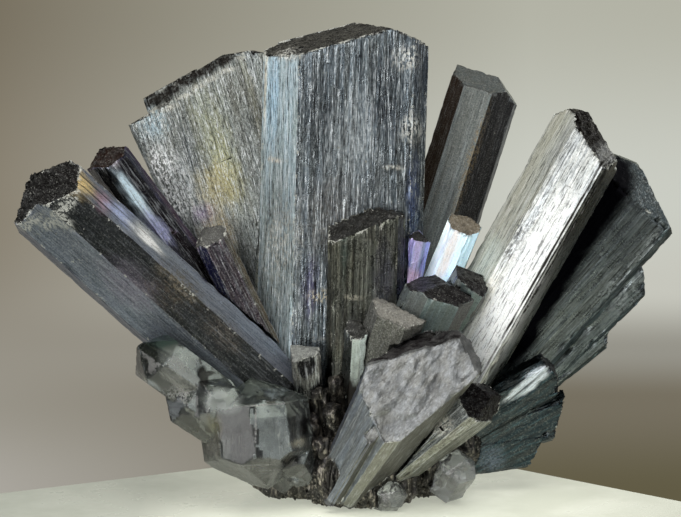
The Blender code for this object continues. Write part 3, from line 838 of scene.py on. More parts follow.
centreBlade = {
    "node": "centre_blade", "slot": "stibnite_silver", "seed": 1, "laths": 0.1,
    "root": (-0.6, 1, 5), "tip": (0.6, 1.8, 47.2), "thickness": 7, "tone": (0.9, 0.95, 0.99),
    "film": (0.05, 0, 0.3), "lining": 0.9, "gleam": 0.8, "gleamColour": (0.8, 0.86, 0.9),
    "pitch": 8, "edging": 0.2, "capSugar": 0.8, "capColour": (0.016, 0.015, 0.014),
    "facets": [
        (-135, 0, (0.85, 0.98, 1.02), 0.35), (-90, 0, (0.4, 0.45, 0.49), 0),
        (-45, 0, (0.2, 0.22, 0.25), 0),
    ],
    "patches": [
        ((-2.4, -2.2, 38.6), (1.8, 4.6), (0.03, 0.036, 0.042), 0.7, 0, 0.3),
        ((4.4, -1.9, 40), (1.5, 5), (0.03, 0.04, 0.055), 0.7, 0, 0.3),
        ((1.4, -2.2, 35), (2.6, 5.5), (0.42, 0.46, 0.48), 0.5, 0.35, 0.5),
        ((-1, -2.4, 28), (3.2, 4.5), (0.14, 0.12, 0.105), 0.6, 0.2, 0.4),
        ((3.5, -2.2, 29), (2.5, 4), (0.1, 0.11, 0.11), 0.5, 0.1, 0.3),
        ((-6.7, 0.7, 40), (0.6, 4.8), (0.42, 0.62, 0.78), 0.75, 0.5, 0.1),
        ((-7.5, 1.5, 40.8), (0.16, 4.6), (0.8, 0.74, 0.6), 0.9, 0.7, 0.3),
        ((-5.4, -1, 44), (1.5, 0.5), (0.66, 0.66, 0.62), 0.9, 0.85, 0.7),
        # painted glints: the two pale speckled patches high on the right
        ((6.6, -1.8, 43.9), (1.4, 1.3), (0.7, 0.7, 0.66), 0.85, 0.6, 1),
        ((7, -1.9, 37), (1.2, 1.6), (0.7, 0.7, 0.66), 0.85, 0.6, 1),
        ((7.2, -1.8, 30.2), (0.7, 3.8), (0.12, 0.17, 0.38), 0.75, 0, 0.2),
        ((5.4, -2, 33.1), (1, 0.3), (0.66, 0.65, 0.6), 0.95, 0.8, 0.8),
        ((-6.6, 0.1, 33.6), (1.1, 0.35), (0.66, 0.62, 0.55), 0.95, 0.8, 0.8),
        ((-6.3, -0.3, 23.5), (2.2, 7), (0.25, 0.27, 0.25), 0.9, 0.7, 0.6),
        ((-5.8, -0.8, 26), (2.4, 3.4), (0.44, 0.45, 0.42), 0.75, 0.7, 1),
        ((-3, -2.6, 21.3), (0.9, 3.2), (0.1, 0.08, 0.2), 0.7, 0, 0.2),
        ((-2, -2.6, 20.3), (1.2, 0.7), (0.6, 0.54, 0.4), 0.85, 0.6, 1),
        ((0.4, -2.6, 15.8), (3, 0.4), (0.58, 0.57, 0.52), 0.9, 0.6, 1),
    ],
    "capPatches": [((-5.6, -0.6, 45), (1.6, 1.6), (0.56, 0.56, 0.52), 0.95, 0.85, 0.8)],
    "marks": [((-5, -1.2, 45), (1.6, 3, 0.9), 0.35),
              ((5.4, -2, 32.6), (1.1, 1, 0.4), 0.2)],
}
growCrystal(centreBlade)

frontBlade = {
    "node": "front_blade", "slot": "stibnite_dark", "seed": 2, "laths": 0.1, "root": (2.2, -3, 8),
    "tip": (2.6, -3.6, 29.6), "thickness": 3.2, "tone": (0.26, 0.27, 0.24),
    "film": (0.12, 0, 0.5), "vivid": 0.5, "lining": 0.8, "gleam": 0.35,
    "gleamColour": (0.3, 0.32, 0.28), "capColour": (0.03, 0.029, 0.027),
    "capRelief": (1.4, 0.8, 0.35), "edging": -0.05, "pitch": 6.5,
    "facets": [(-45, 0, (0.5, 0.5, 0.8), 0)],
    "patches": [
        ((1.2, -4.7, 28.4), (2.6, 0.4), (0.24, 0.24, 0.22), 0.6, 0.5, 1),
        ((-0.5, -4.8, 24.5), (1.2, 3.5), (0.08, 0.08, 0.05), 0.5, 0.2, 0.3),
        ((0.4, -4.8, 25), (0.5, 3), (0.04, 0.075, 0.07), 0.6, 0.1, 0.2),
        ((4.2, -5, 22), (1, 4.5), (0.085, 0.085, 0.15), 0.55, 0, 0.2),
        ((1.2, -5, 20.6), (1, 0.3), (0.38, 0.36, 0.29), 0.8, 0.6, 0.8),
        ((2.4, -5, 17), (4, 2.5), grey(0.02), 0.7, 0.2, 0),
    ],
}
growCrystal(frontBlade)

leftRearBlade = {
    "node": "left_rear_blade", "slot": "stibnite_silver", "seed": 3, "root": (-3, 4.5, 5),
    "tip": (-14, 8, 42.8), "thickness": 5, "laths": 0.05, "fan": ((0, -60), 80),
    "tone": (0.62, 0.67, 0.67), "film": (0.08, 0, 0.4), "pitch": 8, "stretch": 0.06,
    "sugar": 0.5, "sugarScale": 8, "ribs": (0.012, 1.8), "steps": (0.015, 3.6), "gleam": 0.9,
    "gleamColour": (0.84, 0.88, 0.9), "edging": 0.1, "rough": (0.28, 0.42),
    # painted highlight: the face turned this way is lit bright and matte
    "facets": [(-45, -15, (1.6, 1.55, 1.4), 0.9)],
    "patches": [
        ((-8.5, 4.3, 36), (2, 9), (0.11, 0.11, 0.085), 0.5, 0.2, 0.2),
        ((-15, 4.6, 34), (1.2, 5), (0.1, 0.11, 0.115), 0.5, 0.1, 0.3),
        # painted highlights: the bluish and the white speckled patches
        ((-19, 5.3, 37), (1.3, 2.4), (0.46, 0.64, 0.76), 0.6, 0.4, 0.7),
        ((-18.2, 4.8, 32.6), (1.7, 2.4), (0.95, 0.97, 1), 0.9, 0.75, 0.9),
        ((-16.2, 4.6, 29), (2.6, 2.8), (0.74, 0.77, 0.8), 0.75, 0.5, 0.9),
        ((-12.4, 4.4, 34.5), (1.7, 7), (0.42, 0.43, 0.22), 0.5, 0.3, 0.2),
        ((-11.8, 4.4, 32.5), (1, 3.8), (0.66, 0.66, 0.38), 0.5, 0.4, 0.5),
        ((-12.6, 4.3, 30.2), (2.2, 2.8), (0.58, 0.5, 0.24), 0.65, 0.4, 0.2),
        ((-13.8, 4.3, 27.6), (1.2, 1.1), (0.34, 0.22, 0.46), 0.6, 0.3, 0.2),
        ((-12.2, 4, 25.6), (1.8, 2.8), (0.66, 0.54, 0.34), 0.7, 0.4, 0.5),
        *[((x, 5.3, z - 1), (1, 0.3), (0.62, 0.62, 0.56), 0.8, 0.6, 0.5)
         for x, z in ((-17.2, 39.3), (-15.7, 40.5), (-14.4, 41.4), (-13, 42.2), (-11.6, 43))],
    ],
    # painted shadow: a dark band along the upper edge
    "shadowsAndCrust": [((x, 5.3, z), (1.1, 0.65), (0.018, 0.016, 0.014), 1.2, 0.3, 0.3)
                for x, z in (
                    (-19.2, 38.8), (-18.2, 39.4), (-17, 40.1), (-15.7, 41), (-14.4, 41.8),
                    (-13.1, 42.5), (-11.9, 43.2))],
}
growCrystal(leftRearBlade)

leftPrism = {
    "node": "left_prism", "slot": "stibnite_dark", "seed": 4, "root": (-5, -1.5, 8),
    "tip": (-30.8, -8, 33.2), "roll": 20, "thickness": 7.8, "tone": (0.8, 0.84, 0.88),
    "film": (0.45, 0, 0.3), "vivid": 0.15, "lining": 0.45, "pitch": 5, "gleam": 0.14,
    "sugar": 0.35, "ribs": (0.02, 0.9), "steps": (0.02, 1.8), "capRelief": (2.2, 0.35, 0.6),
    "capColour": (0.014, 0.013, 0.013), "capSugar": 0.5, "edging": 0.15,
    "facets": [
        (-135, 0, (0.44, 0.49, 0.53), 0.35), (-90, 0, (0.1, 0.11, 0.1), 0.1),
        (-45, 0, (0.8, 0.85, 0.92), 0.2), (180, 0, (0.4, 0.44, 0.5), 0.3),
    ],
    "patches": [
        ((-25.2, -9.2, 32.6), (1.6, 1.6, 2.2), (0.95, 0.72, 0.34), 1.1, 0.45, 0.1),
        ((-22.9, -8.3, 30.6), (1.6, 1.6, 1.3), (0.56, 0.36, 0.46), 0.85, 0.4, 0.1),
        ((-21.2, -7.7, 29.4), (1.4, 1.4, 1.8), (0.6, 0.68, 1), 1, 0.4, 0.1),
        # painted highlight: the white patch
        ((-18.7, -7.2, 27.1), (1.2, 1.2, 2.4), grey(1), 1.2, 0.6, 0.1),
        ((-15.5, -7.3, 22.5), (1.8, 1.8, 3.2), (0.2, 0.17, 0.12), 0.85, 0.4, 0.6),
        ((-11.5, -7, 17.5), (1.8, 1.8, 3), (0.17, 0.145, 0.12), 0.6, 0.3, 0.6),
        ((-20, -10.4, 22.8), (2, 6, 3.5), (0.26, 0.23, 0.3), 0.5, 0.4, 0.2),
        ((-17, -9.6, 21.6), (1.4, 1.4, 3.4), (0.14, 0.11, 0.08), 0.6, 0.2, 0.7),
    ],
    "shadowsAndCrust": [
        ((-26.8, -11, 30), (3, 3, 0.75), (0.4, 0.41, 0.38), 1.3, 0.8, 0.85),
        ((-29.9, -10, 28.8), (1.8, 2.5, 0.5), (0.4, 0.41, 0.38), 1.3, 0.8, 0.85),
        ((-26.6, -11, 29), (0.7, 1.5, 1.4), (0.36, 0.37, 0.34), 1.2, 0.8, 0.9),
        ((-24.1, -8.2, 32.3), (0.09, 8), (0.03, 0.025, 0.025), 0.9, 0, 0.2),
        ((-24.7, -8.6, 31.8), (0.09, 8), (0.03, 0.025, 0.025), 0.9, 0, 0.2),
    ],
}
growCrystal(leftPrism)

leftSlimPrism = {
    "node": "left_slim_prism", "slot": "stibnite_tarnished", "seed": 5, "edging": -0.1,
    "root": (-5.5, 1.5, 9), "tip": (-24.2, 0.5, 35), "roll": 25, "thickness": 4.4,
    "tone": (0.6, 0.6, 0.66), "film": (0.5, 0, 0.4), "vivid": 0.6, "lining": 0.5,
    "capColour": (0.03, 0.014, 0.01), "capRelief": (1.4, 0.8, 0.35),
    "facets": [
        (-138, 0, (0.03, 0.025, 0.025), 0.1), (-90, 0, (0.06, 0.05, 0.05), 0.1),
        (180, 0, grey(0.05), 0.2), (-45, 0, (0.6, 0.5, 0.55), 0.1),
    ],
    "patches": [
        # painted reflection: the blue-white strip where the face mirrors the bright light
        ((-20.6, -1, 30), (0.8, 3.6), (0.7, 0.88, 1), 1.1, 0.6, 0.1),
        ((-18.2, -1.2, 26.8), (0.8, 2.4), (0.46, 0.48, 0.78), 0.9, 0.5, 0.3),
        ((-22.8, -0.9, 33.6), (0.6, 1.2), (0.34, 0.3, 0.34), 0.8, 0.4, 0.2),
    ],
}
growCrystal(leftSlimPrism)

leftNeedle = {
    "node": "left_needle", "slot": "stibnite_tarnished", "seed": 6, "root": (-5, -1.5, 9),
    "tip": (-13.6, -0.5, 27), "roll": 15, "thickness": 3.2, "tone": (0.6, 0.6, 0.62),
    "film": (0.42, 0, 0.5), "sugar": 0.6, "capColour": (0.08, 0.08, 0.075), "capMatte": 0.7,
    "edging": 0,
    "facets": [
        (-135, 0, (0.1, 0.12, 0.36), 0.2), (-90, 0, (0.42, 0.38, 0.4), 0.1),
        (-45, 0, (0.6, 0.54, 0.34), 0.2),
    ],
}
growCrystal(leftNeedle)

rightRearPrism = {
    "node": "right_rear_prism", "slot": "stibnite_dark", "seed": 7, "root": (4.5, 4.5, 8),
    "tip": (15.4, 9, 42), "roll": -12, "thickness": 6.2, "tone": (0.75, 0.78, 0.78), "sugar": 0.4,
    "sugarScale": 8, "lining": 0.3, "gleam": 0.15, "rough": (0.3, 0.45), "ribs": (0.02, 0.9),
    "steps": (0.01, 1.8), "fine": (0.01, 5), "capShare": 0.25,
    "facets": [
        (-135, 0, (0.1, 0.05, 0.03), 0.2), (-90, 0, (0.42, 0.45, 0.45), 0.55),
        (-45, 0, (0.11, 0.1, 0.1), 0.3), (0, 0, (0.2, 0.22, 0.3), 0),
        (-90, 60, (0.26, 0.28, 0.28), 0.45),
    ],
    "patches": [
        ((13.2, 4.8, 33), (0.5, 6), (0.3, 0.23, 0.13), 0.7, 0.5, 1),
        ((16.6, 5.6, 28), (0.8, 6), (0.012, 0.016, 0.028), 0.8, 0, 0.2),
    ],
    "shadowsAndCrust": [((11, 5.5, 27), (0.5, 5), (0.01, 0.01, 0.012), 0.6, 0, 0)],
}
growCrystal(rightRearPrism)

smallBluePrism = {
    "node": "small_blue_prism", "slot": "stibnite_tarnished", "seed": 8, "root": (7, -1.5, 14),
    # painted sheen: a tone above 1 on matte faces keeps them bright from every side
    "tip": (12.6, -1.8, 28.2), "roll": -10, "thickness": 2.8, "tone": grey(1.9),
    "film": (0.7, 0, 0.2), "vivid": 0.5, "lining": 0.15, "banding": 0.1, "gleam": 0.2,
    "sugar": 0.15, "ribs": (0.01, 1.2), "steps": (0.01, 2), "capColour": (0.14, 0.12, 0.09),
    "capMatte": 0.8, "capRelief": (2, 1, 0.3),
    "facets": [
        (-135, 0, (1.3, 1.24, 1.15), 0.7), (-90, 0, (1, 1.1, 1.15), 0.9),
        (-45, 0, (1, 1.15, 1.2), 0.9),
    ],
    "patches": [((10.6, -3.1, 24.6), (0.6, 5), (0.84, 0.78, 0.74), 0.9, 0.7, 0.1)],
}
growCrystal(smallBluePrism)

violetPrism = {
    "node": "violet_prism", "slot": "stibnite_tarnished", "seed": 9, "root": (5.8, -3, 17),
    "tip": (7.9, -3.2, 26.9), "roll": 10, "thickness": 2.2, "tone": (1.6, 1.75, 1.95),
    "film": (0.54, 0, 0.3), "vivid": 0.6, "lining": 0.35, "ribs": (0.02, 1.2),
    "steps": (0.02, 2), "gleam": 0.5, "gleamColour": (0.7, 0.72, 0.9),
    "facets": [
        (-90, 0, grey(1), 0.5), (-45, 0, (0.7, 0.75, 1), 0.4), (-135, 0, (0.6, 0.6, 0.8), 0.4),
    ],
    "patches": [((7, -4.5, 22.6), (1.4, 0.8), (0.74, 0.5, 0.7), 0.8, 0.5, 0.3)],
}
growCrystal(violetPrism)

rightBrightPrism = {
    "node": "right_bright_prism", "slot": "stibnite_bright", "seed": 10, "root": (7.8, -1, 6),
    "tip": (25.4, -3.8, 38.7), "roll": -20, "thickness": 6.2, "tone": (1.4, 1.42, 1.4),
    "ribs": (0.008, 1.6), "steps": (0.015, 3.4), "fine": (0.008, 5.5), "lining": 0.7, "gleam": 0.6,
    "gleamColour": (0.95, 0.95, 0.93), "banding": 0.15, "capColour": (0.012, 0.009, 0.006),
    "capMatte": 0.1, "edging": 0,
    "facets": [
        (-135, 0, (0.82, 0.82, 0.76), 0.45), (-90, 0, (0.97, 0.99, 1.04), 0.45),
        # the facet rising 45 degrees, six times as bright, is a painted highlight
        (-45, 0, (0.35, 0.34, 0.33), 0), (0, 0, grey(0.3), 0), (0, 45, (6, 6.5, 6), 0.4),
    ],
    "patches": [
        ((22.6, -6.6, 35), (3, 5.5), (0.32, 0.34, 0.35), 0.75, 0.1, 0.4),
        ((17.6, -5.6, 27.2), (1, 1.6), (0.13, 0.14, 0.15), 0.85, 0.3, 1),
        ((16.8, -5.6, 25.2), (1.3, 1.2), (0.11, 0.12, 0.13), 0.85, 0.3, 1),
        ((19, -6.2, 28.5), (0.6, 2.6), (0.1, 0.11, 0.12), 0.7, 0.3, 0.9),
        ((18.4, -5.9, 23.6), (0.5, 0.6), (0.1, 0.1, 0.11), 0.9, 0.3, 0.5),
        # painted reflection of the bright light: the near-white patches here and below
        ((17, -5.8, 20), (3, 8.5), (0.96, 0.98, 1), 0.9, 0.85, 0.2),
        ((20.5, -6.5, 28), (1.4, 5), (0.96, 0.98, 1), 0.7, 0.7, 0.5),
        ((14, -4.6, 21), (1.4, 4.5), (0.84, 0.82, 0.72), 0.7, 0.6, 0.4),
    ],
    "capPatches": [((26.2, -6.5, 35.2), (1.2, 2.5, 1.7), (0.42, 0.43, 0.42), 1.3, 0.3, 0.4)],
    # painted dark reflections: thin black lines on the narrow face
    "shadowsAndCrust": [((x, y, 25.6), (broad, 14), (0.02, 0.018, 0.016), 1.2, 0, speckle)
                for x, y, broad, speckle in (
                    (20.6, -7, 0.13, 0), (21.1, -6.8, 0.1, 0.3), (21.5, -6.6, 0.12, 0.3))],
}
growCrystal(rightBrightPrism)

rightFarBlade = {
    "node": "right_far_blade", "slot": "stibnite_dark", "seed": 11, "laths": 0.1,
    "root": (7.5, 3.5, 3), "tip": (32, 6, 31), "roll": 8, "thickness": 4.2,
    "fan": ((0, -40), 60), "tone": (0.5, 0.57, 0.59), "gleam": 0.65,
    "gleamColour": (0.5, 0.56, 0.58), "chips": 1.3, "capShare": 0.1, "pitch": 6.5,
    "stretch": 0.018,
    "facets": [(-45, 0, (0.6, 0.7, 0.7), 0.3), (-90, 40, (0.42, 0.45, 0.46), 0.35)],
    "patches": [
        ((28.4, 4.5, 19.7), (2.2, 3), (0.33, 0.37, 0.37), 0.6, 0.5, 1),
        ((31.6, 4.6, 24), (1.2, 3), (0.4, 0.44, 0.44), 0.6, 0.5, 1),
        ((24, 3.5, 13.5), (2.5, 3), (0.03, 0.045, 0.045), 0.6, 0.2, 0.3),
    ],
    "ragged": 0.1,
    # painted shadow: the black band beside the bright prism
    "shadowsAndCrust": [((x, 3, z), (1.9, 4.5), (0.004, 0.004, 0.006), 1.6, 0, 0)
                for x, z in (
                    (27.6, 31), (25.6, 28.2), (23.8, 25.4), (21.8, 22.2), (19.8, 18.6),
                    (17.6, 14.6))],
}
growCrystal(rightFarBlade)

lowerRightBlade = {
    "node": "lower_right_blade", "slot": "stibnite_dark", "seed": 12, "laths": 0.1,
    "root": (7, -1, 4), "tip": (21.6, -1.7, 12.6), "roll": 10, "thickness": 3.2,
    "fan": ((4, -12), 20), "tone": (0.06, 0.085, 0.1), "lining": 0.6, "gleam": 0.5,
    "gleamColour": (0.09, 0.16, 0.19), "chips": 1.3, "crust": 0,
    "capColour": (0.02, 0.02, 0.022),
    "patches": [
        # painted highlight: the bright facet
        ((18.8, -3.4, 11.6), (0.5, 2.5), (0.84, 0.92, 1), 2.2, 0.7, 0),
        ((18.2, -3.4, 11), (0.12, 3), (0.02, 0.03, 0.04), 0.9, 0, 0),
        ((15.2, -1.6, 3.6), (1.6, 1.4), (0.18, 0.22, 0.28), 0.8, 0.6, 0.7),
    ],
}
growCrystal(lowerRightBlade)

foregroundPrism = {
    "node": "foreground_prism", "slot": "stibnite_silver", "seed": 13, "root": (0.4, -7, 1.8),
    "tip": (9.6, -15, 18.8), "roll": -35, "thickness": 8, "tone": grey(0.62),
    "capColour": (0.078, 0.081, 0.081), "capRelief": (0.55, 0.17, 0.52), "capSharp": False,
    "capSugar": 0.1, "capMatte": 0.6, "lining": 0.3, "gleam": 0.2, "sugar": 0.15,
    "ribs": (0.02, 1), "steps": (0.01, 2), "hollowShade": 0.8, "chips": 0.2,
    "facets": [
        (-145, 44, (0.1, 0.07, 0.08), 0.2), (-75, 28, (0.78, 0.79, 0.81), 0.22),
        (-90, 0, (0.5, 0.55, 0.63), 0.4), (-45, 0, (0.6, 0.59, 0.5), 0.5),
        (0, 0, (0.36, 0.34, 0.29), 0.3), (-135, 0, (0.4, 0.44, 0.55), 0.3),
    ],
}
growCrystal(foregroundPrism)

foregroundLowerPrism = {
    "node": "foreground_lower_prism", "slot": "stibnite_dark", "seed": 14, "edging": -0.1,
    "root": (3.4, -6, 1.6), "tip": (14.6, -11.5, 12.4), "roll": -30, "thickness": 4.4,
    "tone": (0.7, 0.7, 0.66), "sugar": 0.5, "lining": 0.5, "capColour": (0.012, 0.009, 0.009),
    "capMatte": 0.1,
    "facets": [
        (-90, 0, (0.34, 0.37, 0.41), 0.4), (-45, 0, (0.62, 0.61, 0.52), 0.6),
        (0, 0, (0.5, 0.49, 0.42), 0.4),
    ],
    "patches": [((9.6, -11.7, 9.2), (1.2, 1.2), (0.74, 0.72, 0.66), 0.9, 0.6, 0.8)],
}
growCrystal(foregroundLowerPrism)

darkStub = {
    "node": "dark_stub", "slot": "stibnite_dark", "seed": 15, "root": (4.4, -2, 9),
    "tip": (10.4, -8, 23.2), "roll": 10, "thickness": 5.6, "tone": (0.74, 0.83, 0.84),
    "ribs": (0.015, 0.9), "steps": (0.01, 1.5), "lining": 0.15, "gleam": 0.1, "sugar": 0.3,
    "capColour": (0.022, 0.02, 0.021),
    "facets": [
        (-90, 0, (0.55, 0.62, 0.62), 0.4), (-135, 0, (0.4, 0.4, 0.39), 0.4),
        (-45, 0, (0.28, 0.24, 0.22), 0.2),
    ],
}
growCrystal(darkStub)

paleStub = {
    "node": "pale_stub", "slot": "stibnite_silver", "seed": 16, "root": (2, -3.5, 8),
    "tip": (6, -9.6, 20.8), "roll": -15, "thickness": 4.6, "tone": (0.6, 0.59, 0.55), "sugar": 0.5,
    "sugarScale": 5.5, "lining": 0.1, "gleam": 0.1, "ribs": (0.02, 0.9), "steps": (0.01, 1.5),
    "capColour": (0.17, 0.165, 0.148), "capMatte": 0.8,
    "facets": [
        (-90, 0, (0.36, 0.36, 0.34), 0.7), (-135, 0, grey(0.24), 0.7),
        (-24, 0, (0.4, 0.4, 0.37), 0.7), (-68, 0, (0.4, 0.4, 0.37), 0.7),
    ],
}
growCrystal(paleStub)

squareStub = {
    "node": "square_stub", "slot": "stibnite_dark", "seed": 17, "edging": -0.1, "laths": 0.1,
    "root": (-3, -3.6, 8), "tip": (-3.5, -6, 15.8), "roll": 4, "thickness": 2.6,
    "tone": (0.12, 0.12, 0.13), "capColour": (0.2, 0.21, 0.2), "capMatte": 0.7,
    "marks": [((-3.4, -7.1, 14.1), (0.9, 2, 1.1), 0.3)],
    "patches": [
        ((-3.4, -7.1, 14.2), (2.4, 2.1), (0.46, 0.46, 0.42), 0.9, 0.7, 0.5),
        # painted shade in the pit
        ((-3.4, -7.1, 13.9), (1.1, 1.4), (0.01, 0.01, 0.012), 1.8, 0, 0),
        ((-3.7, -7.1, 14.8), (0.5, 0.3), (0.34, 0.36, 0.35), 1, 0.6, 0),
    ],
}
growCrystal(squareStub)

brightStub = {
    "node": "bright_stub", "slot": "stibnite_bright", "seed": 18, "edging": -0.1, "laths": 0.1,
    "root": (1.5, -4.5, 7), "tip": (2.2, -9, 18.8), "roll": 30, "thickness": 2.8,
    "tone": (0.4, 0.42, 0.41), "capColour": (0.05, 0.05, 0.047), "lining": 0.1, "sugar": 0.3,
    # painted highlight: its front facets lit far above their tone, and matte
    "facets": [(-90, 0, (3.2, 3.4, 3.3), 0.9), (-135, 0, (2.4, 2.6, 2.5), 0.8)],
    # painted shade where the facet ends above the dark root
    "shadowsAndCrust": [((2, -8.5, 10.6), (3, 3.2), (0.02, 0.018, 0.016), 1.3, 0.2, 0)],
}
growCrystal(brightStub)
print("metal crystals are grown")


rootValues = {
    "node": "root_mass", "seed": 70, "grid": (0.25, 0.25, 0.25), "centre": (0, 2, 0),
    "swell": 0.12, "splinter": 0.5, "columns": (1.5, 1.5, 0.14), "grit": 0.12,
    "footing": 0.4,  # below this height nothing swells out
    "wearReach": 0.5, "matte": 0.15, "tone": (0.08, 0.077, 0.075),
    "film": (0.25, 0, 0.9), "pitch": 3.2, "stretch": 0.05, "crust": 0.02, "crustScale": 0.9,
    "hollowShade": 0.9, "rough": (0.2, 0.45), "sugar": 0.35, "sugarScale": 4.5, "gleam": 0.6,
    "gleamColour": (0.46, 0.42, 0.36), "edgeColour": (0.5, 0.47, 0.42),
    # painted glints: the pale speckled patch low at the front
    "patches": [((0.4, -10.5, 3), (2, 2.5, 1.3), (0.66, 0.58, 0.42), 0.8, 0.6, 1)],
}


def growRoot(given):
    # broken lumps with upright splinters between the crystals' feet
    values = {**plainCrystal, **given}
    own = Matrix.Identity(4)
    bm = openNode(values["node"], own)
    refine(bm, values["grid"], values["seed"])
    bm.normal_update()
    grainLayer, tintLayer, wearLayer, capLayer, hollowLayer = metalLayers(bm)
    centre = Vector(values["centre"])
    tree = mainEdges(bm)[0]
    moved = []
    for v in bm.verts:
        column = scaledBy(v.co, *values["columns"])
        splinter = 0.7 - 2.2 * abs(noise.noise(column)) + 0.3 * noise.noise(column * 2.3)
        grit = noise.noise(scaledBy(v.co, 2.2, 2.2, 0.7))
        height = values["swell"] + values["splinter"] * splinter + values["grit"] * grit
        if v.co.z < values["footing"]:
            height = min(height, 0.0)
        v[grainLayer] = v.co + Vector((0, 0, 0.4 * (v.co - centre).length))
        v[tintLayer] = (1, 1, 1, values["matte"])
        v[hollowLayer] = smoothStep(0.1 - splinter - 0.4 * grit, 0.0, 0.6)
        v[wearLayer] = 1.0 - smoothStep(tree.find(v.co)[2], 0.0, values["wearReach"])
        v[capLayer] = 0.0
        moved.append((v, v.normal * height))
    settle(moved)
    material = stibnite("rootMetal", values, 3.1, values["patches"], [], [])
    return finishPiece(bm, "root_skin", own, material, values["node"], 40.0)


growRoot(rootValues)
print("root is grown")


paintedDarkInside = ((0.03, 0.03, 0.03), 1.6, 0.0, 0.0)  # painted dark: where the dark crystals behind show through the quartz
# facets are (way it looks, tint), each tint painted light or shade; patches (place, size, tint,
# amount, frosting, speckle);
# grainLift is how much paler the two single grains are
quartzValues = {
    "colour": (0.86, 0.89, 0.9), "cloud": (0.52, 0.54, 0.54), "ior": 1.544, "clear": 0.85,
    "absorbColour": (0.74, 0.75, 0.76), "absorb": 110, "rough": (0.04, 0.24), "grid": 0.3,
    "waves": 0.02, "lines": 0.01, "crumble": 0.2, "wearReach": 0.4, "footing": 0.3,
    "grainLift": 0.75,
    "crest": {"at": (-8.2, -12.8, 8.5), "along": (-0.153, 0.209, 0.966), "turn": 22,
              "x": (-12.6, -4.2), "z": (0.5, 11.6)},
    "facets": [
        ((-0.75, -0.35, 0.55), (0.1, 0.12, 0.11)), ((0.1, -0.35, 0.93), (0.14, 0.16, 0.155)),
        ((-0.4, -0.9, 0.1), (0.14, 0.15, 0.155)), ((0.35, -0.9, 0.2), (0.9, 0.98, 1)),
        ((0.95, -0.25, 0.1), (0.24, 0.25, 0.25)), ((-0.92, -0.4, 0), (0.62, 0.61, 0.54)),
        ((0, -0.7, -0.7), (0.5, 0.5, 0.46)), ((0, 1, 0), (0.7, 0.7, 0.7)),
    ],
    "patches": [
        # painted dark: the dark crystals seen through and mirrored in the quartz
        ((-19, -10.6, 15.6), (1.4, 4.5, 1.7), (0.03, 0.035, 0.03), 2.4, 0, 0),
        ((-17, -10, 17.6), (2, 3, 1.1), (0.02, 0.04, 0.036), 1.8, 0, 0),
        ((-15.6, -10.2, 15.2), (2, 3, 1.4), (0.86, 0.9, 0.88), 0.4, 0.4, 0.2),
        ((-13.5, -9.4, 13.9), (0.5, 2, 0.6), *paintedDarkInside),
        ((-13.3, -9.4, 13.2), (0.45, 2, 0.8), *paintedDarkInside),
        ((-12.7, -9.4, 13.7), (0.7, 2, 0.3), *paintedDarkInside),
        ((-11.5, -11.4, 11.5), (1.7, 2, 1.2), (0.92, 1, 1), 1.3, 0.7, 0),
        ((-12.3, -11.4, 8.9), (0.8, 1.6, 1.3), (0.38, 0.35, 0.16), 0.8, 0.2, 0.1),
        ((-5.5, -10.2, 5.4), (1.8, 2, 0.8), *paintedDarkInside),
        ((-3.4, -9.8, 8.8), (0.5, 2.2, 1.4), grey(0.02), 1.6, 0, 0),
        ((-4.6, -10.2, 7.2), (1.3, 1.6, 0.5), (0.9, 0.86, 0.7), 1.2, 0.9, 0.4),
        ((-14, -9.8, 7.6), (3, 3, 2.6), (0.3, 0.29, 0.21), 0.6, 0.2, 0.7),
        # painted glints: white frosted spots and lines on the front edges and faces
        ((-15.9, -10.6, 12), (1.4, 1.6, 0.8), grey(1), 1.4, 1, 1),
        ((-8.2, -12.8, 5.4), (2, 1.8, 0.07), grey(1), 1.6, 1, 0.5),
        ((-7, -12.8, 4.7), (1.2, 1.8, 0.05), grey(1), 1.2, 1, 0.6),
        ((-8.2, -12.7, 9.4), (0.1, 1.4, 2), grey(1), 1.4, 1, 0.7),
        ((-6.4, -11.8, 11.2), (2.4, 1.4, 0.08), grey(1), 1.4, 1, 0.5),
    ],
}


def quartzMaterial(values):
    # clear quartz: plain transmission with absorption, with light and shade painted face by face
    material, tree = newMaterial("quartz")
    place = objectPlace(tree)
    cloudy = remap(tree, noiseNode(tree, place, scale=0.5, detail=3.0), 0.35, 0.7)
    colour = blendColours(tree, cloudy, values["colour"], values["cloud"])
    colour = multiplied(tree, colour, attribute(tree, "facet", "Color"))
    colour, frosting = paintPatches(tree, place, values["patches"], colour, 0.0, ragged=0.12)
    rough = remap(tree, noiseNode(tree, place, scale=0.8, detail=3.0), 0.42, 0.68, *values["rough"])
    height = noiseNode(tree, stretched(tree, place, (0.8, 0.8, 3.0)), detail=3.0)
    shader = principled(tree, {
        "Transmission Weight": values["clear"], "IOR": values["ior"], "Base Color": colour,
        "Roughness": maths(tree, "MULTIPLY_ADD", frosting, 0.5, rough, clamp=True),
        "Normal": bumped(tree, height, 0.3)})
    inside = addNode(tree, "ShaderNodeVolumeAbsorption")
    inside.inputs["Color"].default_value = (*values["absorbColour"], 1.0)
    inside.inputs["Density"].default_value = values["absorb"]
    finishMaterial(tree, shader, inside)
    return material


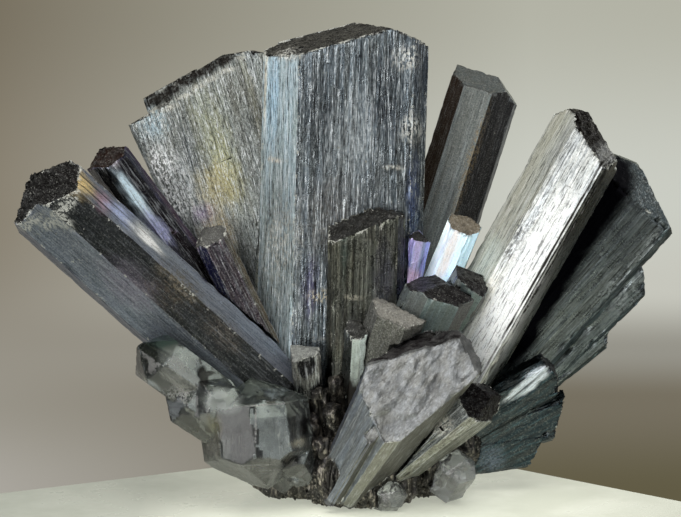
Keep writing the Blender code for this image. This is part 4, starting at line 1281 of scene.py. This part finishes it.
def foldFace(bm, crest):
    # turns a flat front into two faces that meet along one crest
    at, along, viewer = Vector(crest["at"]), Vector(crest["along"]).normalized(), Vector((0, -1, 0))
    front = (viewer - along * along.dot(viewer)).normalized()
    (left, right), (low, high) = crest["x"], crest["z"]
    for turn in (-crest["turn"], crest["turn"]):
        way = Matrix.Rotation(math.radians(turn), 3, along) @ front
        for v in bm.verts:
            beyond = (v.co - at).dot(way)
            if beyond > 0 and left < v.co.x < right and low < v.co.z < high:
                v.co -= way * beyond


def shadeFacets(bm, facets, lift):
    # each flat face takes the painted light or shade of the direction it looks in most; lift makes
    # every tone paler
    layer = bm.faces.layers.float_color.new("facet")
    ways = [(Vector(way).normalized(), tint) for way, tint in facets]
    bm.normal_update()
    for face in bm.faces:
        tint = max(ways, key=lambda given: face.normal.dot(given[0]))[1]
        face[layer] = (*[c + (1 - c) * lift for c in tint], 1.0)


def growQuartz(name, seed, material, values):
    own = Matrix.Identity(4)
    bm = openNode(name, own)
    refine(bm, (values["grid"],) * 3, seed)
    bm.normal_update()
    tree = mainEdges(bm)[0]
    moved = []
    for v in bm.verts:
        wear = 1.0 - smoothStep(tree.find(v.co)[2], 0.0, values["wearReach"])
        # faint waves and growth lines, and broken edges
        height = values["waves"] * noise.noise(v.co * 0.7)
        height += values["lines"] * noise.noise(scaledBy(v.co, 1, 1, 3) * 1.3)
        broken = noise.noise(v.co * 1.1 + Vector((seed, 0, 0)))
        height -= values["crumble"] * wear * max(0.0, broken)
        if v.co.z < values["footing"]:
            height = min(height, 0.0)
        moved.append((v, v.normal * height))
    settle(moved)
    lift = values["grainLift"]
    if name == "quartz_cluster":
        foldFace(bm, values["crest"])
        lift = 0.0
    shadeFacets(bm, values["facets"], lift)
    return finishPiece(bm, name + "_skin", own, material, name, 30.0)


clearQuartz = quartzMaterial(quartzValues)
for seed, name in enumerate(("quartz_cluster", "quartz_grain_right", "quartz_grain_front")):
    growQuartz(name, 80 + seed, clearQuartz, quartzValues)
print("quartz is grown")
